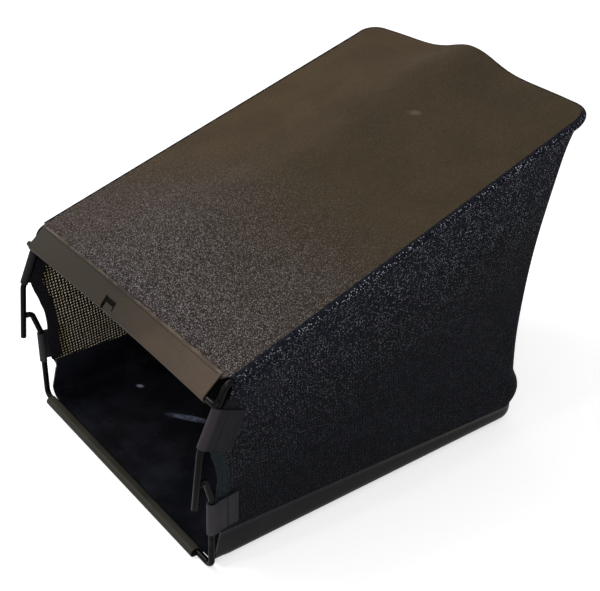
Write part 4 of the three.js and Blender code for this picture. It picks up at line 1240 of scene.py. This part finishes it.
def refined(section, step=3.0):
    """The outline with points added along its straight runs."""
    found = []
    for a, b in zip(section, (*section[1:], section[0])):
        parts = max(1, math.ceil(math.dist(a, b) / step))
        found += [(lerp(a[0], b[0], k / parts), lerp(a[1], b[1], k / parts)) for k in range(parts)]
    return found


def strip_body():
    section = refined(STRIP_SECTION)
    rings = []
    for x in np.linspace(STRIP_SHIFT - STRIP_HALF, STRIP_SHIFT + STRIP_HALF, 90):
        rings.append([beside_crossbar(x, a, b) for a, b in section])
    return sweep(rings)


def cut_notch(strip):
    """Cuts the strip's notch: a slot round a tongue that stays in line with the strip."""
    top = crossbar_z(NOTCH["x"])
    low, high = NOTCH["x"] - NOTCH["width"] / 2, NOTCH["x"] + NOTCH["width"] / 2
    slots = ((low, low + NOTCH_SLOTS["left"], NOTCH["front"]), (low, high, NOTCH_SLOTS["rear_from"]),
             (high - NOTCH_SLOTS["right"], high, NOTCH_SLOTS["right_from"]))
    for number, (start, end, front) in enumerate(slots):
        corners = [(x, CROSSBAR_Y + y, top + z) for x in (start, end) for y in (front, NOTCH["rear"])
                   for z in NOTCH_DEPTH]
        sides = [(0, 1, 3, 2), (4, 6, 7, 5), (0, 4, 5, 1), (2, 3, 7, 6), (0, 2, 6, 4), (1, 5, 7, 3)]
        cutter = put(f"notch_cutter_{number}", corners, sides, LOOKS["strip"], "binding")
        made = strip.modifiers.new("notch", "BOOLEAN")
        made.operation = "DIFFERENCE"
        made.solver = "EXACT"
        made.object = cutter
        bpy.context.view_layer.objects.active = strip
        bpy.ops.object.modifier_apply(modifier=made.name)
        bpy.data.objects.remove(cutter)


strip = outward_faces(put("top_strip", *strip_body(), LOOKS["strip"], "binding", ["top_binding"], 30))
cut_notch(strip)
strip.data.set_sharp_from_angle(angle=math.radians(20))


# Hem tapes.
def tape_frame(v):
    edge, behind = cloth_wall(0, v), cloth_wall(0.03, v)
    above = cloth_wall(0, min(v + 0.01, 1))
    rise = unit(above - edge)
    out = unit(np.cross(unit(behind - edge), rise))
    return edge, unit(np.cross(rise, out)), out


def tape_loop():
    fold = FIT + SHOWN_TAPE
    middle, radius = -CLOTH / 2, CLOTH / 2 + fold
    outer = [(a, fold) for a in np.linspace(TAPE_WIDTH, 0.6, 6)]
    front = [(0.2 - radius * math.sin(t) * 0.7, middle + radius * math.cos(t))
             for t in np.linspace(0.2, math.pi - 0.2, 9)]
    inner = [(a, -CLOTH - fold) for a in np.linspace(0.6, TAPE_WIDTH, 6)]
    return [*outer, *front, *inner]


def tape_rows(side):
    rows = []
    for v in np.linspace(*SHOWN_TAPE_SPAN, 60):
        edge, back, out = tape_frame(v)
        wave = 0.25 * math.sin(v * 61 + side)
        rows.append([(edge + back * (a + wave) + out * b) * (side, 1, 1) for a, b in tape_loop()])
    return rows


for side, name in ((-1, "left"), (1, "right")):
    sheet_piece(f"hem_fold_{name}", tape_rows(side), LOOKS["tape"], "tape",
                                               [f"hem_tape_{name}"], SHOWN_TAPE, side < 0)


# Stitching.
def stitches(path, normals, length=3.2, gap=1.6, radius=0.32):
    """Thread stitches along a path, each a short arched capsule that stands on the cloth."""
    path = np.array(path, float)
    normals = np.array(normals, float)
    steps = np.linalg.norm(np.diff(path, axis=0), axis=1)
    reach = np.concatenate([[0], np.cumsum(steps)])
    parts = []
    start = gap
    while start + length < reach[-1]:
        spots = []
        for t in np.linspace(0, 1, 5):
            at = np.array([np.interp(start + t * length, reach, path[:, k]) for k in range(3)])
            out = np.array([np.interp(start + t * length, reach, normals[:, k]) for k in range(3)])
            spots.append(at + unit(out) * (radius * 0.9 * math.sin(math.pi * t) - 0.05))
        parts.append(tube(spots, radius, 6, 0.15))
        start += length + gap
    return joined(parts)


def wall_run(p0, p1, level, count, side):
    """A run along the side cloth at one level."""
    path, normals = [], []
    for t in np.linspace(0, 1, count):
        p = lerp(p0, p1, t)
        out = rail_outline(p)[1]
        path.append((wall_point(p, level, side) + out * STITCH_LIFT) * (side, 1, 1))
        normals.append(out * (side, 1, 1))
    return path, normals


def flange_run(tip, start, end, outward):
    """A run on a side binding's flange, beside its free edge."""
    _, rearward, out = grip_axes(start, end, outward)
    beside = rearward * (tip[0] - STITCH_INSET) + out * (tip[1] + VINYL)
    path = [lerp(start, end, t) + beside for t in (0.03, 0.35, 0.65, 0.97)]
    return path, [out] * len(path)


def all_stitches():
    runs = []
    for side in (-1, 1):
        runs.append(wall_run(0.01, CORNER_P - 0.004, SEAM_STITCHES, 120, side))
        runs.append(wall_run(0.02, SIDE_END, RIM_STITCHES, 90, side))
        for inset in TAPE_STITCHES:
            path, normals = [], []
            for v in np.linspace(0.12, 0.9, 50):
                edge, back, out = tape_frame(v)
                at = edge + back * (TAPE_WIDTH - inset) + out * (FIT + SHOWN_TAPE)
                path.append(at * (side, 1, 1))
                normals.append(out * (side, 1, 1))
            runs.append((path, normals))
        outward = vec(side, 0, 0)
        ends = [vec(side * leg_x(z), leg_y(z), z) for z in UPPER_BINDING_Z]
        runs.append(flange_run(UPPER_FLANGE_TIP, *ends, outward))
        runs.append(flange_run(LOWER_FLANGE_TIP, *lower_clip_ends(side), outward))
    places = np.linspace(*STRIP_STITCHES, 60)
    line = [beside_crossbar(x, STRIP_FLANGE - STITCH_INSET, RING_IN + VINYL) for x in places]
    runs.append((line, [beside_crossbar(x, 0, 1) - beside_crossbar(x, 0, 0) for x in places]))
    return joined([stitches(*run) for run in runs])


put("stitching", *all_stitches(), LOOKS["thread"], "tape")


# Cloth cut sizes in metres, with areas and the rods each rests on; listed only, not used to build anything.
CUTS = {
    "top": ((0.44, 0.62), None, ["rail_rod_painted", "ridge_rod_painted"]),
    "left": ((0.6, 0.46), 0.176, ["rail_rod_painted"]),
    "right": ((0.6, 0.46), 0.176, ["rail_rod_painted"]),
    "rear": ((0.47, 0.49), 0.18, ["rail_rod_painted"]),
}
for name, (flat, area, rests) in CUTS.items():
    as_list(rests)


# Stage and light.
FLOOR_HALF = 12.0
FLOOR_GLOW = 0.55                   # seen by the camera only
WORLD_LIGHT = 0.5                   # on the object; the camera sees white


def make_floor():
    mesh = bpy.data.meshes.new("floor")
    signs = ((-1, -1), (1, -1), (1, 1), (-1, 1))
    mesh.from_pydata([(x * FLOOR_HALF, y * FLOOR_HALF, 0) for x, y in signs], [], [(0, 1, 2, 3)])
    floor = bpy.data.objects.new("floor", mesh)
    bpy.context.scene.collection.objects.link(floor)
    f = Finish("floor_paper", 0.9, 0.1)
    f.base(f.mix(f.noise(400, 2), colour(236, 236, 236), colour(242, 242, 242)))
    path = f.node("ShaderNodeLightPath").outputs
    f.feed(f.shader.inputs["Emission Color"], (1, 1, 1, 1))
    f.feed(f.shader.inputs["Emission Strength"], f.times(path["Is Camera Ray"], FLOOR_GLOW))
    mesh.materials.append(f.material)


def make_world():
    world = bpy.data.worlds.new("studio")
    bpy.context.scene.world = world
    world.use_nodes = True
    nodes = Nodes(world.node_tree)
    path = nodes.node("ShaderNodeLightPath").outputs
    seen = nodes.math("MAXIMUM", path["Is Camera Ray"], path["Is Transmission Ray"])
    seen = nodes.math("MAXIMUM", seen, path["Is Glossy Ray"])
    background = nodes.tree.nodes["Background"].inputs
    nodes.feed(background["Strength"], nodes.ramp(seen, 0.0, 1.0, WORLD_LIGHT, 1.0))
    nodes.feed(background["Color"], (1, 1, 1, 1))


def make_lamp(name, place, target, size, power):
    data = bpy.data.lights.new(name, "AREA")
    data.shape = "RECTANGLE"
    data.size, data.size_y = size
    data.energy = power
    lamp = bpy.data.objects.new(name, data)
    lamp.location = place
    lamp.rotation_mode = "QUATERNION"
    lamp.rotation_quaternion = (Vector(target) - Vector(place)).to_track_quat("-Z", "Y")
    bpy.context.scene.collection.objects.link(lamp)


make_floor()
make_world()
make_lamp("key", (-1.3, -1.1, 2.3), (0, 0, 0.2), (1.2, 1.2), 34)
make_lamp("fill", (1.8, -1.4, 1.6), (0, 0, 0.2), (0.8, 0.8), 10)
make_lamp("glint", (0.1, -2.0, 2.3), (0.1, -0.3, 0.2), (0.1, 0.1), 5)

bpy.context.scene.view_settings.view_transform = "Standard"
